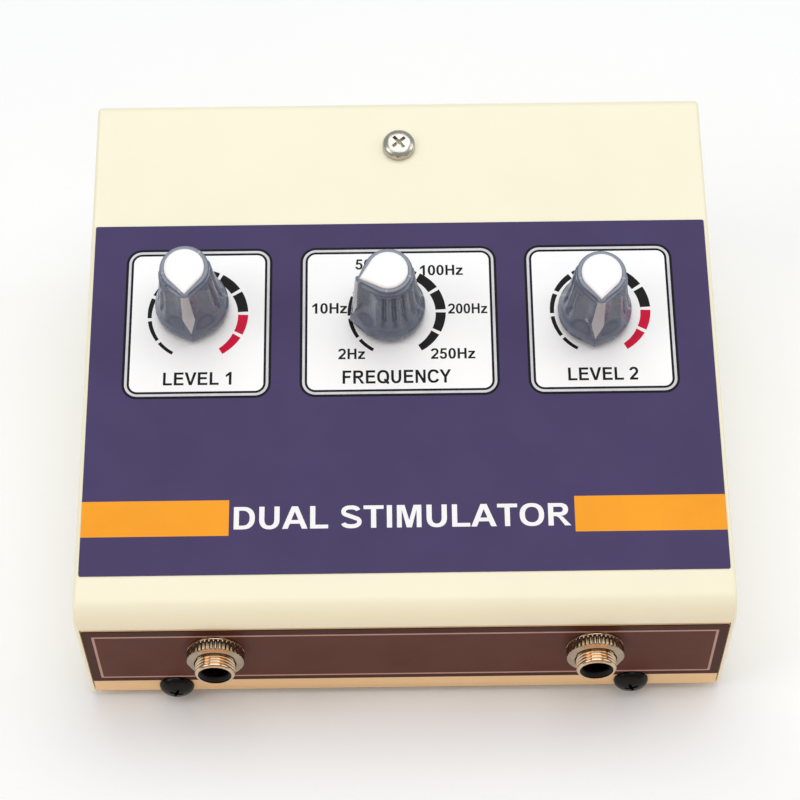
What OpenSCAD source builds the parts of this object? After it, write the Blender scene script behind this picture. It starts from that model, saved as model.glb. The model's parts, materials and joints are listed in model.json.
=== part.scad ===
// Two-channel nerve stimulator console: a sloping sheet-steel box with three pointer knobs,
// two output jacks in its front, and the electronics inside. Units are millimetres.
// X runs to the right, Y to the back, Z up. The origin is under the middle of the box, at the
// foot of its rubber feet.

/* [Enclosure] */
// Width of the box
body_w = 160; // [110:1:240]
// Depth of the box
body_d = 140; // [110:1:200]
// Height of the front face from the underside to the sharp corner it would meet the top in
front_h = 36.3; // [32:0.1:60]
// Angle of the top above level, in degrees
slope = 12.5; // [6:0.5:16]
// Thickness of the sheet steel
sheet_t = 1.2; // [1:0.1:2]
// Outside radius of the rolled front edge of the cover
nose_r = 6.5; // [4:0.1:9]
// Outside radius of the bend between the top and each side
side_bend_r = 1.2; // [1.2:0.1:4]
// Outside radius of the bend at the back of the top
back_bend_r = 2.5; // [1.5:0.1:5]
// Gap between sheets that lie side by side
seam = 0.3; // [0.2:0.05:0.6]
// Height of the cover's lap over the back panel
rear_lap = 9; // [6:0.5:14]
// Height of the chassis's turned-up front edge
flange_h = 10; // [8:0.5:14]
// Width of the rear panel's tongue under the cover screw
tongue_w = 64; // [30:1:90]

/* [Feet] */
// Height of a rubber foot
foot_h = 3; // [2:0.5:8]
// Radius of a rubber foot
foot_r = 6.5; // [5:0.5:9]
// Distance from each side of the box to a foot's centre
foot_inset = 15; // [12:1:30]

/* [Screws in the case] */
// Distance down the top from its back corner to the cover screw
cover_screw_back = 14.5; // [10:0.5:20]
// Radius of the cover screw's pan head
cover_head_r = 4.3; // [3.5:0.1:5]
// Distance from the middle to each black screw in the front
lip_screw_x = 57.3; // [50:0.1:62]
// How far to the left of true both black screws stand
lip_screw_off = 0.45; // [0:0.05:1]
// Height of the black screws above the underside
lip_screw_h = 2.9; // [2.8:0.1:5]
// Radius of a black screw's domed head
lip_head_r = 4.35; // [3.5:0.05:5]

/* [Labels] */
// Width of the top label
label_w = 157.6; // [100:0.1:158]
// Depth of the top label, measured along the slope
label_d = 95; // [80:0.5:100]
// Distance up the slope from the sharp front corner to the top label
label_front = 10.9; // [10:0.1:14]
// Thickness of both labels
label_t = 0.25; // [0.2:0.05:0.4]
// Height of the front label
front_label_h = 24.8; // [20:0.1:25]
// Height of bare metal under the front label
front_label_low = 5.7; // [4:0.1:8]

/* [Knobs] */
// Sideways place of the left level knob
level_1_x = -53; // [-60:0.1:-45]
// Distance of the left level knob up the slope
level_1_y = 82.3; // [70:0.1:90]
// Direction the left level knob points, in degrees clockwise from straight at the user
level_1_rest = -2; // [-10:1:30]
// Sideways place of the frequency knob
freq_x = -3.1; // [-10:0.1:10]
// Distance of the frequency knob up the slope
freq_y = 80.8; // [70:0.1:90]
// Direction the frequency knob points, in degrees clockwise from straight at the user
freq_rest = 73; // [30:1:330]
// Sideways place of the right level knob
level_2_x = 49.1; // [45:0.1:60]
// Distance of the right level knob up the slope
level_2_y = 79.5; // [70:0.1:90]
// Direction the right level knob points, in degrees clockwise from straight at the user
level_2_rest = 3; // [-10:1:30]
// Gap under a knob
knob_gap = 1.6; // [1:0.1:3]
// Height of a knob
knob_h = 21.5; // [19:0.1:24]
// Radius of a knob's skirt
skirt_r = 9.35; // [8:0.05:11]
// Radius of a knob's body where it meets the skirt
grip_r_low = 8; // [7.6:0.1:8.5]
// Radius of a knob's body at the top
grip_r_top = 6.1; // [5.7:0.1:6.4]
// Radius of the white cap on a knob
cap_r = 4.95; // [4.5:0.05:5]
// Radius of a control's shaft
shaft_r = 3; // [2.9:0.05:3.1]
// Radial gap between a shaft and the bush it turns in
shaft_gap = 0.05; // [0.02:0.01:0.1]

/* [Output jacks] */
// Distance from the middle to each jack
jack_x = 46.5; // [40:0.5:50]
// Height of the jacks above the underside
jack_h = 21; // [20:0.5:22]
// Radius of the hole a plug goes in
jack_bore_r = 3.25; // [3.2:0.01:3.3]
// Outside radius of a jack's threaded sleeve
jack_sleeve_r = 4.9; // [4.6:0.1:5.2]
// Distance the sleeve stands out from the front panel
jack_out = 7.3; // [6:0.1:8]
// Outside radius of the knurled ring nut
jack_nut_r = 7.1; // [6.5:0.1:7.5]
// Length of the bore that holds a plug
jack_bore_len = 28; // [26:1:30]

/* [Back panel] */
// Sideways place of the power switch
switch_x = 42; // [30:1:55]
// Height of the power switch above the underside
switch_z = 36; // [30:1:45]
// Angle the rocker turns through between off and on, in degrees
rocker_throw = 14; // [10:1:18]
// Sideways place of the mains cord gland
inlet_x = -52; // [-60:1:-40]
// Height of the mains cord gland above the underside
inlet_z = 30; // [25:1:40]
// Distance the mains cord gland stands out from the back panel
gland_out = 8.6; // [6:0.1:10]

/* [Inside] */
// Left edge of the circuit board
board_left = -12; // [-14:1:0]
// Right edge of the circuit board
board_right = 72; // [60:1:74]
// Front edge of the circuit board
board_front = -40; // [-42:1:-30]
// Back edge of the circuit board
board_back = 32; // [20:1:40]
// Height of the standoffs under the board
standoff_h = 7; // [5:0.5:10]
// Sideways place of the mains transformer
mains_x = -44; // [-46:1:-42]
// Distance of the mains transformer behind the middle
mains_y = 34; // [28:1:38]

/* [Hidden] */

front_y = -body_d / 2;
back_y = body_d / 2;
corner_z = foot_h + front_h;
back_z = corner_z + body_d * tan(slope);
slope_len = body_d / cos(slope);
nose_tangent = nose_r / tan((90 + slope) / 2);
nose_end_z = corner_z - nose_tangent;
back_tangent = back_bend_r / tan((90 - slope) / 2);
sheet_drop = sheet_t / cos(slope);
floor_z = foot_h + sheet_t;
inner_w = body_w - 2 * sheet_t;
rear_face_y = back_y - sheet_t - seam;
panel_top_z = nose_end_z - 0.35;
panel_w = inner_w - 2 * seam;
skirt_h = 3.4;
thread_r = 3.5;
washer_t = 0.5;
control_nut_t = 1.8;
control_r = 8.4;
control_d = 9;
knob_floor = 2.2;
flat_y = 1.67;
screw_y = slope_len - cover_screw_back;
board_z = floor_z + standoff_h;
board_t = 1.6;
board_top = board_z + board_t;
board_hole_in = 4;
rocker_sink = 2;
trunnion_r = 1.2;
core_w = 42;
core_d = 16;
core_h = 35;
strap_hole = 26;
foot_places = [for (x = [-1, 1], y = [-1, 1])
    [x * (body_w / 2 - foot_inset), y * (body_d / 2 - foot_inset)]];
board_places = [for (x = [board_left + board_hole_in, board_right - board_hole_in],
                     y = [board_front + board_hole_in, board_back - board_hole_in]) [x, y]];
chip_places = [[12, -8], [36, -8]];
pulse_places = [[6, -27], [56, -27]];
transistor_places = [[24, -31], [37, -31]];
electro_places = [[6, 22, 5], [20, 23, 5], [33, 24, 4]];
film_places = [[2, 2], [26, 4], [50, 3]];
fuse_x = 50;
fuse_y = 24;
resistor_places = [[60, -12], [60, -6], [60, 0], [60, 6], [24, -20], [36, -20], [14, 10], [40, 13]];
mains_screw_places = [[mains_x - strap_hole, mains_y], [mains_x + strap_hole, mains_y]];

// Sideways place of the black screw on one side.
function lip_x(side) = side * lip_screw_x - lip_screw_off;

// Height of the cover's inner face at y, less a distance measured square to the slope.
function under_top(y, gap) = corner_z + (y - front_y) * tan(slope) - (sheet_t + gap) / cos(slope);

module on_slope() {
    translate([0, front_y, corner_z]) rotate([slope, 0, 0]) children();
}

module at_level_1() { on_slope() translate([level_1_x, level_1_y, 0]) children(); }
module at_frequency() { on_slope() translate([freq_x, freq_y, 0]) children(); }
module at_level_2() { on_slope() translate([level_2_x, level_2_y, 0]) children(); }
module at_controls() {
    at_level_1() children();
    at_frequency() children();
    at_level_2() children();
}

// Local +Z runs straight out of the front panel.
module at_jack(side) {
    translate([side * jack_x, front_y, foot_h + jack_h]) rotate([90, 0, 0]) children();
}
// Local +Z runs straight out of the back panel.
module at_back(x, z) {
    translate([x, rear_face_y, foot_h + z]) rotate([-90, 0, 0]) children();
}

module ring(outer, inner, h) {
    difference() {
        cylinder(r = outer, h = h, $fn = 64);
        translate([0, 0, -1]) cylinder(r = inner, h = h + 2, $fn = 64);
    }
}

module hex_nut(across, bore, h) {
    difference() {
        cylinder(r = across / 2 / cos(30), h = h, $fn = 6);
        translate([0, 0, -1]) cylinder(r = bore, h = h + 2, $fn = 48);
    }
}

// One straight length of wire from p to q.
module wire(p, q, r) {
    v = q - p;
    len = norm(v);
    translate(p) rotate([0, acos(v[2] / len), atan2(v[1], v[0])]) cylinder(r = r, h = len, $fn = 24);
}

// A ball whose poles lie square to both wires that meet in it.
module bend_ball(a, b, c, r) {
    u = (a - b) / norm(a - b);
    w = (c - b) / norm(c - b);
    z = cross(u, w) / norm(cross(u, w));
    x = -(u + w) / norm(u + w);
    y = cross(z, x);
    multmatrix([
        [x[0], y[0], z[0], b[0]], [x[1], y[1], z[1], b[1]], [x[2], y[2], z[2], b[2]], [0, 0, 0, 1]
    ]) sphere(r = r, $fn = 24);
}

// A wire through three points, with a slightly swollen bend.
module lead(a, b, c, r) {
    union() {
        wire(a, b, r);
        wire(b, c, r);
        bend_ball(a, b, c, r * 1.15);
    }
}

// Points along an arc about (y, z), from angle a to angle b.
function arc(y, z, r, a, b, n) = [
    for (i = [0:n]) let (t = a + (b - a) * i / n) [y + r * cos(t), z + r * sin(t)]
];

// Side view of the box, shrunk inward by t, with the rolled front and the bend at the back.
module side_view(t) {
    polygon(concat(
        [[front_y + t, foot_h - 1]],
        arc(front_y + nose_r, nose_end_z, nose_r - t, 180, 90 + slope, 18),
        arc(back_y - back_bend_r, back_z - back_tangent, back_bend_r - t, 90 + slope, 0, 10),
        [[back_y - t, foot_h - 1]]
    ));
}

module side_prism(t, w) {
    translate([-w / 2, 0, 0]) rotate([90, 0, 90]) linear_extrude(height = w) side_view(t);
}

// What the bend between the top and one side takes off the square edge. It stops short of the
// rolled front and of the bend at the back, as a folded sheet's does.
module side_bend_cut(s) {
    from = nose_tangent + 1.2;
    to = slope_len - back_tangent - 1;
    on_slope() translate([s * (body_w / 2 - side_bend_r), from, -side_bend_r]) difference() {
        translate([s > 0 ? 0 : -2 * side_bend_r, 0, 0]) cube([2 * side_bend_r, to - from, 2 * side_bend_r]);
        translate([0, -1, 0]) rotate([-90, 0, 0]) cylinder(r = side_bend_r, h = to - from + 2, $fn = 48);
    }
}

module top_cover() {
    color("#f4efd2") difference() {
        side_prism(0, body_w);
        side_prism(sheet_t, inner_w);
        for (s = [-1, 1]) side_bend_cut(s);
        translate([-body_w, -body_d, -1]) cube([2 * body_w, 2 * body_d, foot_h + 1]);
        translate([-inner_w / 2, front_y - 1, 0]) cube([inner_w, 10, nose_end_z]);
        translate([-inner_w / 2, back_y - 10, 0]) cube([inner_w, 20, back_z - rear_lap]);
        at_controls() translate([0, 0, -10]) cylinder(r = thread_r + 0.15, h = 20, $fn = 48);
        on_slope() translate([0, screw_y, -10]) cylinder(r = 2.2, h = 20, $fn = 48);
    }
}

// Floor of the box with its front edge turned up. The rear panel is welded along its back edge.
module chassis() {
    color("#cfccc0") difference() {
        union() {
            translate([-panel_w / 2, -rear_face_y, foot_h])
                cube([panel_w, 2 * rear_face_y - sheet_t, sheet_t]);
            translate([-panel_w / 2, -rear_face_y, foot_h]) cube([panel_w, sheet_t, flange_h]);
        }
        for (s = [-1, 1]) translate([lip_x(s), -rear_face_y - 1, foot_h + lip_screw_h])
            rotate([-90, 0, 0]) cylinder(r = 1.55, h = 4, $fn = 32);
        for (p = concat(foot_places, mains_screw_places, board_places))
            translate([p[0], p[1], foot_h - 1]) cylinder(r = 1.7, h = 4, $fn = 32);
    }
}

// Rear panel with the switch and inlet holes. Its top is folded forward under the cover, as a
// tongue that takes the cover screw.
module rear_panel() {
    outer_y = rear_face_y;
    tab_y = front_y + (screw_y - 12) * cos(slope);
    color("#cfccc0") difference() {
        union() {
            translate([-panel_w / 2, outer_y - sheet_t, foot_h])
                cube([panel_w, sheet_t, back_z - rear_lap + 4 - foot_h]);
            translate([-tongue_w / 2, 0, 0]) rotate([90, 0, 90]) linear_extrude(height = tongue_w) polygon([
                [outer_y, foot_h], [outer_y, under_top(outer_y, seam) - sheet_t],
                [outer_y - sheet_t, under_top(outer_y - sheet_t, seam)],
                [tab_y, under_top(tab_y, seam)], [tab_y, under_top(tab_y, seam + sheet_t)],
                [outer_y - sheet_t, under_top(outer_y - sheet_t, seam + sheet_t)],
                [outer_y - sheet_t, foot_h]
            ]);
        }
        on_slope() translate([0, screw_y, -10]) cylinder(r = 2.4, h = 12, $fn = 48);
        at_back(switch_x, switch_z) translate([-9.75, -6.7, -3]) cube([19.5, 13.4, 6]);
        at_back(inlet_x, inlet_z) translate([0, 0, -3]) cylinder(r = 6.1, h = 6, $fn = 48);
    }
}

module front_panel() {
    color("#f0e9cc") difference() {
        union() {
            translate([-panel_w / 2, front_y, foot_h]) cube([panel_w, sheet_t, panel_top_z - foot_h]);
            translate([-panel_w / 2, front_y + sheet_t, panel_top_z - 2])
                cube([panel_w, 2, 2]);
            translate([-panel_w / 2, front_y + 2, panel_top_z - 2])
                cube([panel_w, sheet_t, 4]);
        }
        for (s = [-1, 1]) {
            at_jack(s) translate([0, 0, -8]) cylinder(r = jack_sleeve_r + 0.1, h = 12, $fn = 64);
            translate([lip_x(s), front_y - 1, foot_h + lip_screw_h]) rotate([-90, 0, 0])
                cylinder(r = 1.7, h = 4, $fn = 32);
        }
    }
}

module top_label() {
    color("#4e4670") difference() {
        on_slope() translate([-label_w / 2, label_front, 0]) cube([label_w, label_d, label_t]);
        at_controls() translate([0, 0, -1]) cylinder(r = thread_r + 0.3, h = 3, $fn = 48);
    }
}

module front_label() {
    color("#613e34") difference() {
        translate([-panel_w / 2 + 0.05, front_y - label_t, foot_h + front_label_low])
            cube([panel_w - 0.1, label_t, front_label_h]);
        for (s = [-1, 1]) {
            at_jack(s) translate([0, 0, -1]) cylinder(r = jack_sleeve_r + 0.2, h = 3, $fn = 64);
            translate([lip_x(s), front_y - 1, foot_h + lip_screw_h]) rotate([-90, 0, 0])
                cylinder(r = lip_head_r + 0.15, h = 2, $fn = 48);
        }
    }
}

// A pan-head screw standing on z = 0 with its shank below, and a cross recess in the head.
module pan_screw(head_r, head_h, shank_r, shank_len) {
    difference() {
        union() {
            rotate_extrude($fn = 64) polygon([
                [0, 0], [head_r, 0], [head_r, head_h * 0.45], [head_r * 0.86, head_h * 0.8],
                [head_r * 0.6, head_h * 0.96], [0, head_h]
            ]);
            translate([0, 0, -shank_len]) cylinder(r = shank_r, h = shank_len + 0.1, $fn = 32);
        }
        for (a = [45, 135]) rotate([0, 0, a]) translate([-head_r * 0.55, -head_r * 0.12, head_h * 0.4])
            cube([head_r * 1.1, head_r * 0.24, head_h]);
    }
}

module cover_screw() {
    color("#b9b6ae") on_slope() translate([0, screw_y, 0]) pan_screw(cover_head_r, 2.6, 1.9, 9);
}

// Spring-steel clip nut on the rear panel's tongue, under the cover screw.
module cover_clip() {
    color("#8f8f92") on_slope() translate([0, screw_y, -2 * sheet_t - seam - 1]) difference() {
        translate([-6, -7, 0]) cube([12, 14, 0.98]);
        translate([0, 0, -1]) cylinder(r = 1.95, h = 4, $fn = 32);
    }
}

module lip_screws() {
    color("#141414") for (s = [-1, 1])
        translate([lip_x(s), front_y, foot_h + lip_screw_h]) rotate([90, 0, 0])
            difference() {
                union() {
                    intersection() {
                        translate([0, 0, 2.7 - 4.85]) sphere(r = 4.85, $fn = 64);
                        cylinder(r = lip_head_r, h = 4, $fn = 64);
                    }
                    translate([0, 0, -6]) cylinder(r = 1.45, h = 6.1, $fn = 32);
                }
                for (a = [0, 90]) rotate([0, 0, a]) translate([-1.9, -0.4, 1.7]) cube([3.8, 0.8, 2]);
            }
}

module rubber_feet() {
    color("#1d1d1f") for (p = foot_places) translate([p[0], p[1], 0]) difference() {
        cylinder(r1 = foot_r - 0.8, r2 = foot_r, h = foot_h, $fn = 64);
        translate([0, 0, -1]) cylinder(r = 3.2, h = 2.5, $fn = 32);
        translate([0, 0, -1]) cylinder(r = 1.6, h = foot_h + 2, $fn = 32);
    }
}

module foot_screws() {
    color("#a9a9ac") for (p = foot_places) translate([p[0], p[1], 1.5]) difference() {
        union() {
            translate([0, 0, -1.1]) cylinder(r = 2.8, h = 1.1, $fn = 32);
            cylinder(r = 1.5, h = foot_h + 4, $fn = 32);
        }
        translate([-2, -0.35, -1.2]) cube([4, 0.7, 0.6]);
    }
}

module foot_nuts() {
    color("#a9a9ac") for (p = foot_places) translate([p[0], p[1], floor_z]) hex_nut(5.5, 1.55, 2.2);
}

// Outline of a cap: a round with a blunt point toward the user.
module drop_outline(r, tip) {
    union() {
        circle(r = r, $fn = 64);
        polygon([[-r * 0.83, -r * 0.56], [r * 0.83, -r * 0.56], [0.4, -tip], [-0.4, -tip]]);
    }
}

// A knob standing on z = 0, pointing to -Y.
module pointer_knob() {
    grip_base = skirt_h - 0.2;
    lean = atan((grip_r_low - grip_r_top) / (knob_h - grip_base));
    difference() {
        union() {
            rotate_extrude($fn = 96) polygon([
                [0, 0], [skirt_r - 0.3, 0], [skirt_r, 0.3], [skirt_r, 1.7],
                [skirt_r - 0.35, 2.6], [skirt_r - 1, 3.2], [skirt_r - 1.5, skirt_h], [0, skirt_h]
            ]);
            difference() {
                union() {
                    translate([0, 0, grip_base])
                        cylinder(r1 = grip_r_low, r2 = grip_r_top, h = knob_h - grip_base, $fn = 96);
                    for (i = [0:10]) rotate([0, 0, 30 + i * 12]) translate([grip_r_low - 0.75, 0, grip_base])
                        rotate([0, -lean, 0]) translate([0, -0.45, 0]) cube([1.35, 0.9, 13.6]);
                }
                for (s = [-1, 1]) translate([s * 4.6, -grip_r_low - 1.3, grip_base + 0.6])
                    rotate([-lean, 0, 0]) cylinder(r = 3.7, h = knob_h, $fn = 64);
            }
            translate([0, 0, knob_h - 1.6]) linear_extrude(height = 1.6) drop_outline(grip_r_top, 8.1);
            translate([0.85, 0, 0]) rotate([0, -90, 0]) linear_extrude(height = 1.7) polygon([
                [1.2, -4], [1.2, -10.4], [4.4, -9.5], [knob_h - 1.5, -8.2], [knob_h, -7.9], [knob_h, -4]
            ]);
        }
        translate([0, 0, -1]) cylinder(r = 7.3, h = knob_floor + 1, $fn = 64);
        difference() {
            cylinder(r = shaft_r + 0.05, h = 13.6, $fn = 64);
            translate([-4, flat_y + 0.05, 4]) cube([8, 4, 10]);
        }
        translate([0, 0, knob_h - 0.8]) linear_extrude(height = 2) drop_outline(cap_r + 0.06, 7.36);
    }
}

module knob_cap() {
    translate([0, 0, knob_h - 0.78]) union() {
        linear_extrude(height = 1.35) drop_outline(cap_r, 7.3);
        translate([0, 0, 1.25]) cylinder(r1 = cap_r, r2 = cap_r - 1.2, h = 0.45, $fn = 64);
    }
}

module control_shaft() {
    difference() {
        translate([0, 0, -7]) cylinder(r = shaft_r, h = knob_gap + 13 + 7, $fn = 64);
        translate([-4, flat_y, knob_gap + 3.8]) cube([8, 4, 12]);
    }
}

module control_body() {
    difference() {
        union() {
            translate([0, 0, -sheet_t - control_d]) cylinder(r = control_r, h = control_d, $fn = 96);
            translate([-6.5, -12.5, -sheet_t - 5]) cube([13, 8, 1.6]);
            translate([0, 0, -sheet_t - 0.1]) cylinder(r = thread_r, h = sheet_t + 3.5, $fn = 64);
        }
        translate([0, 0, -7.4]) cylinder(r = shaft_r + shaft_gap, h = 14, $fn = 64);
    }
}

module at_cap_height() { translate([0, 0, knob_gap]) children(); }

module knob_level_1() {
    color("#787a8c") at_level_1() rotate([0, 0, -level_1_rest]) at_cap_height() pointer_knob();
}
module knob_frequency() {
    color("#787a8c") at_frequency() rotate([0, 0, -freq_rest]) at_cap_height() pointer_knob();
}
module knob_level_2() {
    color("#787a8c") at_level_2() rotate([0, 0, -level_2_rest]) at_cap_height() pointer_knob();
}
module cap_level_1() {
    color("#fbfbfb") at_level_1() rotate([0, 0, -level_1_rest]) at_cap_height() knob_cap();
}
module cap_frequency() {
    color("#fbfbfb") at_frequency() rotate([0, 0, -freq_rest]) at_cap_height() knob_cap();
}
module cap_level_2() {
    color("#fbfbfb") at_level_2() rotate([0, 0, -level_2_rest]) at_cap_height() knob_cap();
}
module shaft_level_1() { color("#c3c3c6") at_level_1() rotate([0, 0, -level_1_rest]) control_shaft(); }
module shaft_frequency() { color("#c3c3c6") at_frequency() rotate([0, 0, -freq_rest]) control_shaft(); }
module shaft_level_2() { color("#c3c3c6") at_level_2() rotate([0, 0, -level_2_rest]) control_shaft(); }
module control_level_1() { color("#9a9ca2") at_level_1() control_body(); }
module control_frequency() { color("#9a9ca2") at_frequency() control_body(); }
module control_level_2() { color("#9a9ca2") at_level_2() control_body(); }

module control_nuts() {
    color("#b9b9bd") at_controls() translate([0, 0, label_t + washer_t])
        hex_nut(10, thread_r + 0.05, control_nut_t);
}

module control_washers() {
    color("#c9c9cd") at_controls() translate([0, 0, label_t]) ring(6.2, thread_r + 0.1, washer_t);
}

// Three solder lugs standing out of the front of each control.
module control_lugs() {
    color("#c8c4ba") at_controls() for (i = [-1, 0, 1])
        translate([i * 4.5 - 0.9, -17.5, -sheet_t - 5.5]) cube([1.8, 17.3 - control_r, 0.5]);
}

module jack_sleeve() {
    thread_from = 2;
    difference() {
        rotate_extrude($fn = 96) polygon(concat(
            [[jack_bore_r, -8], [jack_sleeve_r, -8], [jack_sleeve_r, -2.4], [6.4, -2.4],
             [6.4, -sheet_t], [jack_sleeve_r, -sheet_t]],
            [for (i = [0:4]) each [[jack_sleeve_r, thread_from + i * 0.95],
                                   [jack_sleeve_r - 0.35, thread_from + 0.475 + i * 0.95]]],
            [[jack_sleeve_r, jack_out - 0.5], [jack_sleeve_r - 0.45, jack_out],
             [4.15, jack_out], [jack_bore_r, jack_out - 1.2]]
        ));
    }
}

// Moulded body behind the sleeve. The plug's hole runs on into it.
module jack_housing() {
    difference() {
        translate([-7, -6.5, -26.4]) cube([14, 13, 24]);
        translate([0, 0, -8.05]) cylinder(r = jack_sleeve_r + 0.05, h = 8, $fn = 64);
        translate([0, 0, jack_out - jack_bore_len - 3]) cylinder(r = jack_bore_r, h = 30, $fn = 64);
    }
}

module jack_sleeve_1() { color("#cfccc8") at_jack(-1) jack_sleeve(); }
module jack_sleeve_2() { color("#cfccc8") at_jack(1) jack_sleeve(); }
module jack_housing_1() { color("#1b1b1d") at_jack(-1) jack_housing(); }
module jack_housing_2() { color("#1b1b1d") at_jack(1) jack_housing(); }

module jack_nuts() {
    color("#cfccc8") for (s = [-1, 1]) at_jack(s) translate([0, 0, label_t + 0.7]) difference() {
        rotate_extrude($fn = 96) polygon([
            [jack_sleeve_r + 0.06, 0], [jack_nut_r - 0.35, 0], [jack_nut_r, 0.35],
            [jack_nut_r, 2.4], [jack_nut_r - 0.8, 3.3], [jack_sleeve_r + 0.06, 3.3]
        ]);
        for (i = [0:23]) rotate([0, 0, i * 15]) translate([jack_nut_r + 0.1, 0, -1])
            cylinder(r = 0.38, h = 6, $fn = 16);
    }
}

module jack_washers() {
    color("#c4c2be") for (s = [-1, 1]) at_jack(s) translate([0, 0, label_t])
        ring(7, jack_sleeve_r + 0.1, 0.7);
}

module jack_lugs() {
    color("#c8c4ba") for (s = [-1, 1]) at_jack(s) for (i = [-1, 1])
        translate([i * 3.6 - 1, 3 * i - 0.25, -33.4]) cube([2, 0.5, 7]);
}

// Bezel and moulded body of the rocker switch, open where the rocker sits.
module switch_frame() {
    color("#1a1a1c") at_back(switch_x, switch_z) difference() {
        union() {
            translate([-10.5, -7.5, 0]) cube([21, 15, 1.8]);
            translate([-9.5, -6.45, -13]) cube([19, 12.9, 13.1]);
        }
        translate([-8.9, -5.5, -5.5]) cube([17.8, 11, 9]);
        translate([0, 6.1, -rocker_sink]) rotate([90, 0, 0])
            cylinder(r = trunnion_r + 0.06, h = 12.2, $fn = 32);
    }
}

// The rocker turns on two short trunnions whose axis stands upright.
module switch_rocker() {
    color("#222225") at_back(switch_x, switch_z) translate([0, 0, -rocker_sink])
        rotate([0, rocker_throw / 2, 0]) rotate([90, 0, 0]) union() {
            translate([0, 0, -5.1]) linear_extrude(height = 10.2)
                polygon([[-8, 1.6], [-8, 4.7], [0, 3.9], [8, 4.7], [8, 1.6], [3, -1.6], [-3, -1.6]]);
            translate([0, 0, -5.8]) cylinder(r = trunnion_r, h = 11.6, $fn = 32);
        }
}

module switch_lugs() {
    color("#c8b98a") at_back(switch_x, switch_z) for (i = [-1, 1])
        translate([i * 5 - 0.4, -2.4, -20]) cube([0.8, 4.8, 7]);
}

// Empty tapered cord gland in the mains inlet hole.
module inlet_bush() {
    color("#19191b") at_back(inlet_x, inlet_z) difference() {
        union() {
            rotate_extrude($fn = 64) polygon([
                [0, 0], [8.4, 0], [8.4, 1.2], [7.4, 2.4], [6.8, 2.4], [5.6, gland_out], [0, gland_out]
            ]);
            translate([0, 0, -8]) cylinder(r = 5.9, h = 8.1, $fn = 64);
        }
        translate([0, 0, -9]) cylinder(r = 3.6, h = gland_out + 12, $fn = 64);
    }
}

module inlet_locknut() {
    color("#19191b") at_back(inlet_x, inlet_z) translate([0, 0, -sheet_t - 2.6]) hex_nut(15, 5.95, 2.6);
}

module circuit_board() {
    color("#2c6a3d") difference() {
        translate([board_left, board_front, board_z])
            cube([board_right - board_left, board_back - board_front, board_t]);
        for (p = board_places) translate([p[0], p[1], board_z - 1]) cylinder(r = 1.7, h = 4, $fn = 32);
    }
}

module standoffs() {
    color("#c9a64c") for (p = board_places) translate([p[0], p[1], floor_z]) hex_nut(5.5, 1.55, standoff_h);
}

// One screw down into each standoff from above, and one up into it from below the floor.
module board_screws() {
    color("#b4b4b8") for (p = board_places) {
        translate([p[0], p[1], board_top]) pan_screw(2.8, 1.7, 1.5, 4.6);
        translate([p[0], p[1], foot_h]) rotate([180, 0, 0]) pan_screw(2.8, 1.5, 1.5, 3.6);
    }
}

module timer_chips() {
    color("#1e1e20") for (p = chip_places) translate([p[0], p[1], board_top + 0.8]) difference() {
        translate([-9.5, -3.2, 0]) cube([19, 6.4, 3.4]);
        translate([-9.6, 0, 2.6]) cylinder(r = 1.1, h = 2, $fn = 32);
    }
}

// Legs of the chips and of the power transistors.
module component_legs() {
    color("#c8c8cc") {
        for (p = chip_places) for (s = [-1, 1]) for (i = [-3:3])
            translate([p[0] + i * 2.54 - 0.25, p[1] + s * 3.45 - 0.25, board_top]) cube([0.5, 0.5, 2.6]);
        for (p = transistor_places) for (i = [-1, 0, 1])
            translate([p[0] + i * 2.54 - 0.4, p[1] - 0.2, board_top]) cube([0.8, 0.5, 3]);
    }
}

module resistors() {
    color("#c9ad82") for (p = resistor_places) translate([p[0], p[1], board_top + 1.2]) rotate([0, 90, 0])
        union() {
            translate([0, 0, -3.2]) cylinder(r = 1.2, h = 6.4, $fn = 32);
            translate([0, 0, -5.2]) cylinder(r = 0.3, h = 10.4, $fn = 16);
            for (s = [-5.2, 4.9]) translate([0, 0, s]) translate([0, -0.15, 0]) cube([1.2, 0.3, 0.3]);
        }
}

module electrolytic_capacitors() {
    color("#24407a") for (p = electro_places) translate([p[0], p[1], board_top]) rotate_extrude($fn = 64)
        polygon([
            [0, 0], [p[2], 0], [p[2], 1.2], [p[2] - 0.35, 1.7], [p[2], 2.2], [p[2], 12.2],
            [p[2] - 0.5, 12.6], [0, 12.6]
        ]);
}

module film_capacitors() {
    color("#b8452f") for (p = film_places) translate([p[0] - 4.5, p[1] - 2, board_top]) cube([9, 4, 7]);
}

module power_transistors() {
    color("#202022") for (p = transistor_places) translate([p[0], p[1], board_top + 3]) difference() {
        union() {
            translate([-5, -1.2, 0]) cube([10, 4.4, 9]);
            translate([-5, 1.9, 0]) cube([10, 1.3, 15]);
        }
        translate([0, 0, 12]) rotate([-90, 0, 0]) cylinder(r = 1.8, h = 6, $fn = 32);
    }
}

// Laminated frame with two windows, standing on z = 0 with its windows facing Y.
module laminated_core(w, d, h, limb) {
    window = (w - 4 * limb) / 2;
    difference() {
        translate([-w / 2, -d / 2, 0]) cube([w, d, h]);
        for (s = [-1, 1]) translate([s * (limb + window / 2) - window / 2, -d, limb])
            cube([window, 2 * d, h - 2 * limb]);
    }
}

module pulse_transformer_cores() {
    color("#55565a") for (p = pulse_places) translate([p[0], p[1], board_top]) laminated_core(20, 6, 17, 3);
}

module coil(w, d, h, post_w, post_d) {
    difference() {
        translate([-w / 2, -d / 2, 0]) cube([w, d, h]);
        translate([-post_w / 2, -post_d / 2, -1]) cube([post_w, post_d, h + 2]);
    }
}

module pulse_transformer_coils() {
    color("#c9b04a") for (p = pulse_places) translate([p[0], p[1], board_top + 3.1])
        coil(13.6, 13, 10.8, 6.3, 6.3);
}

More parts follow.
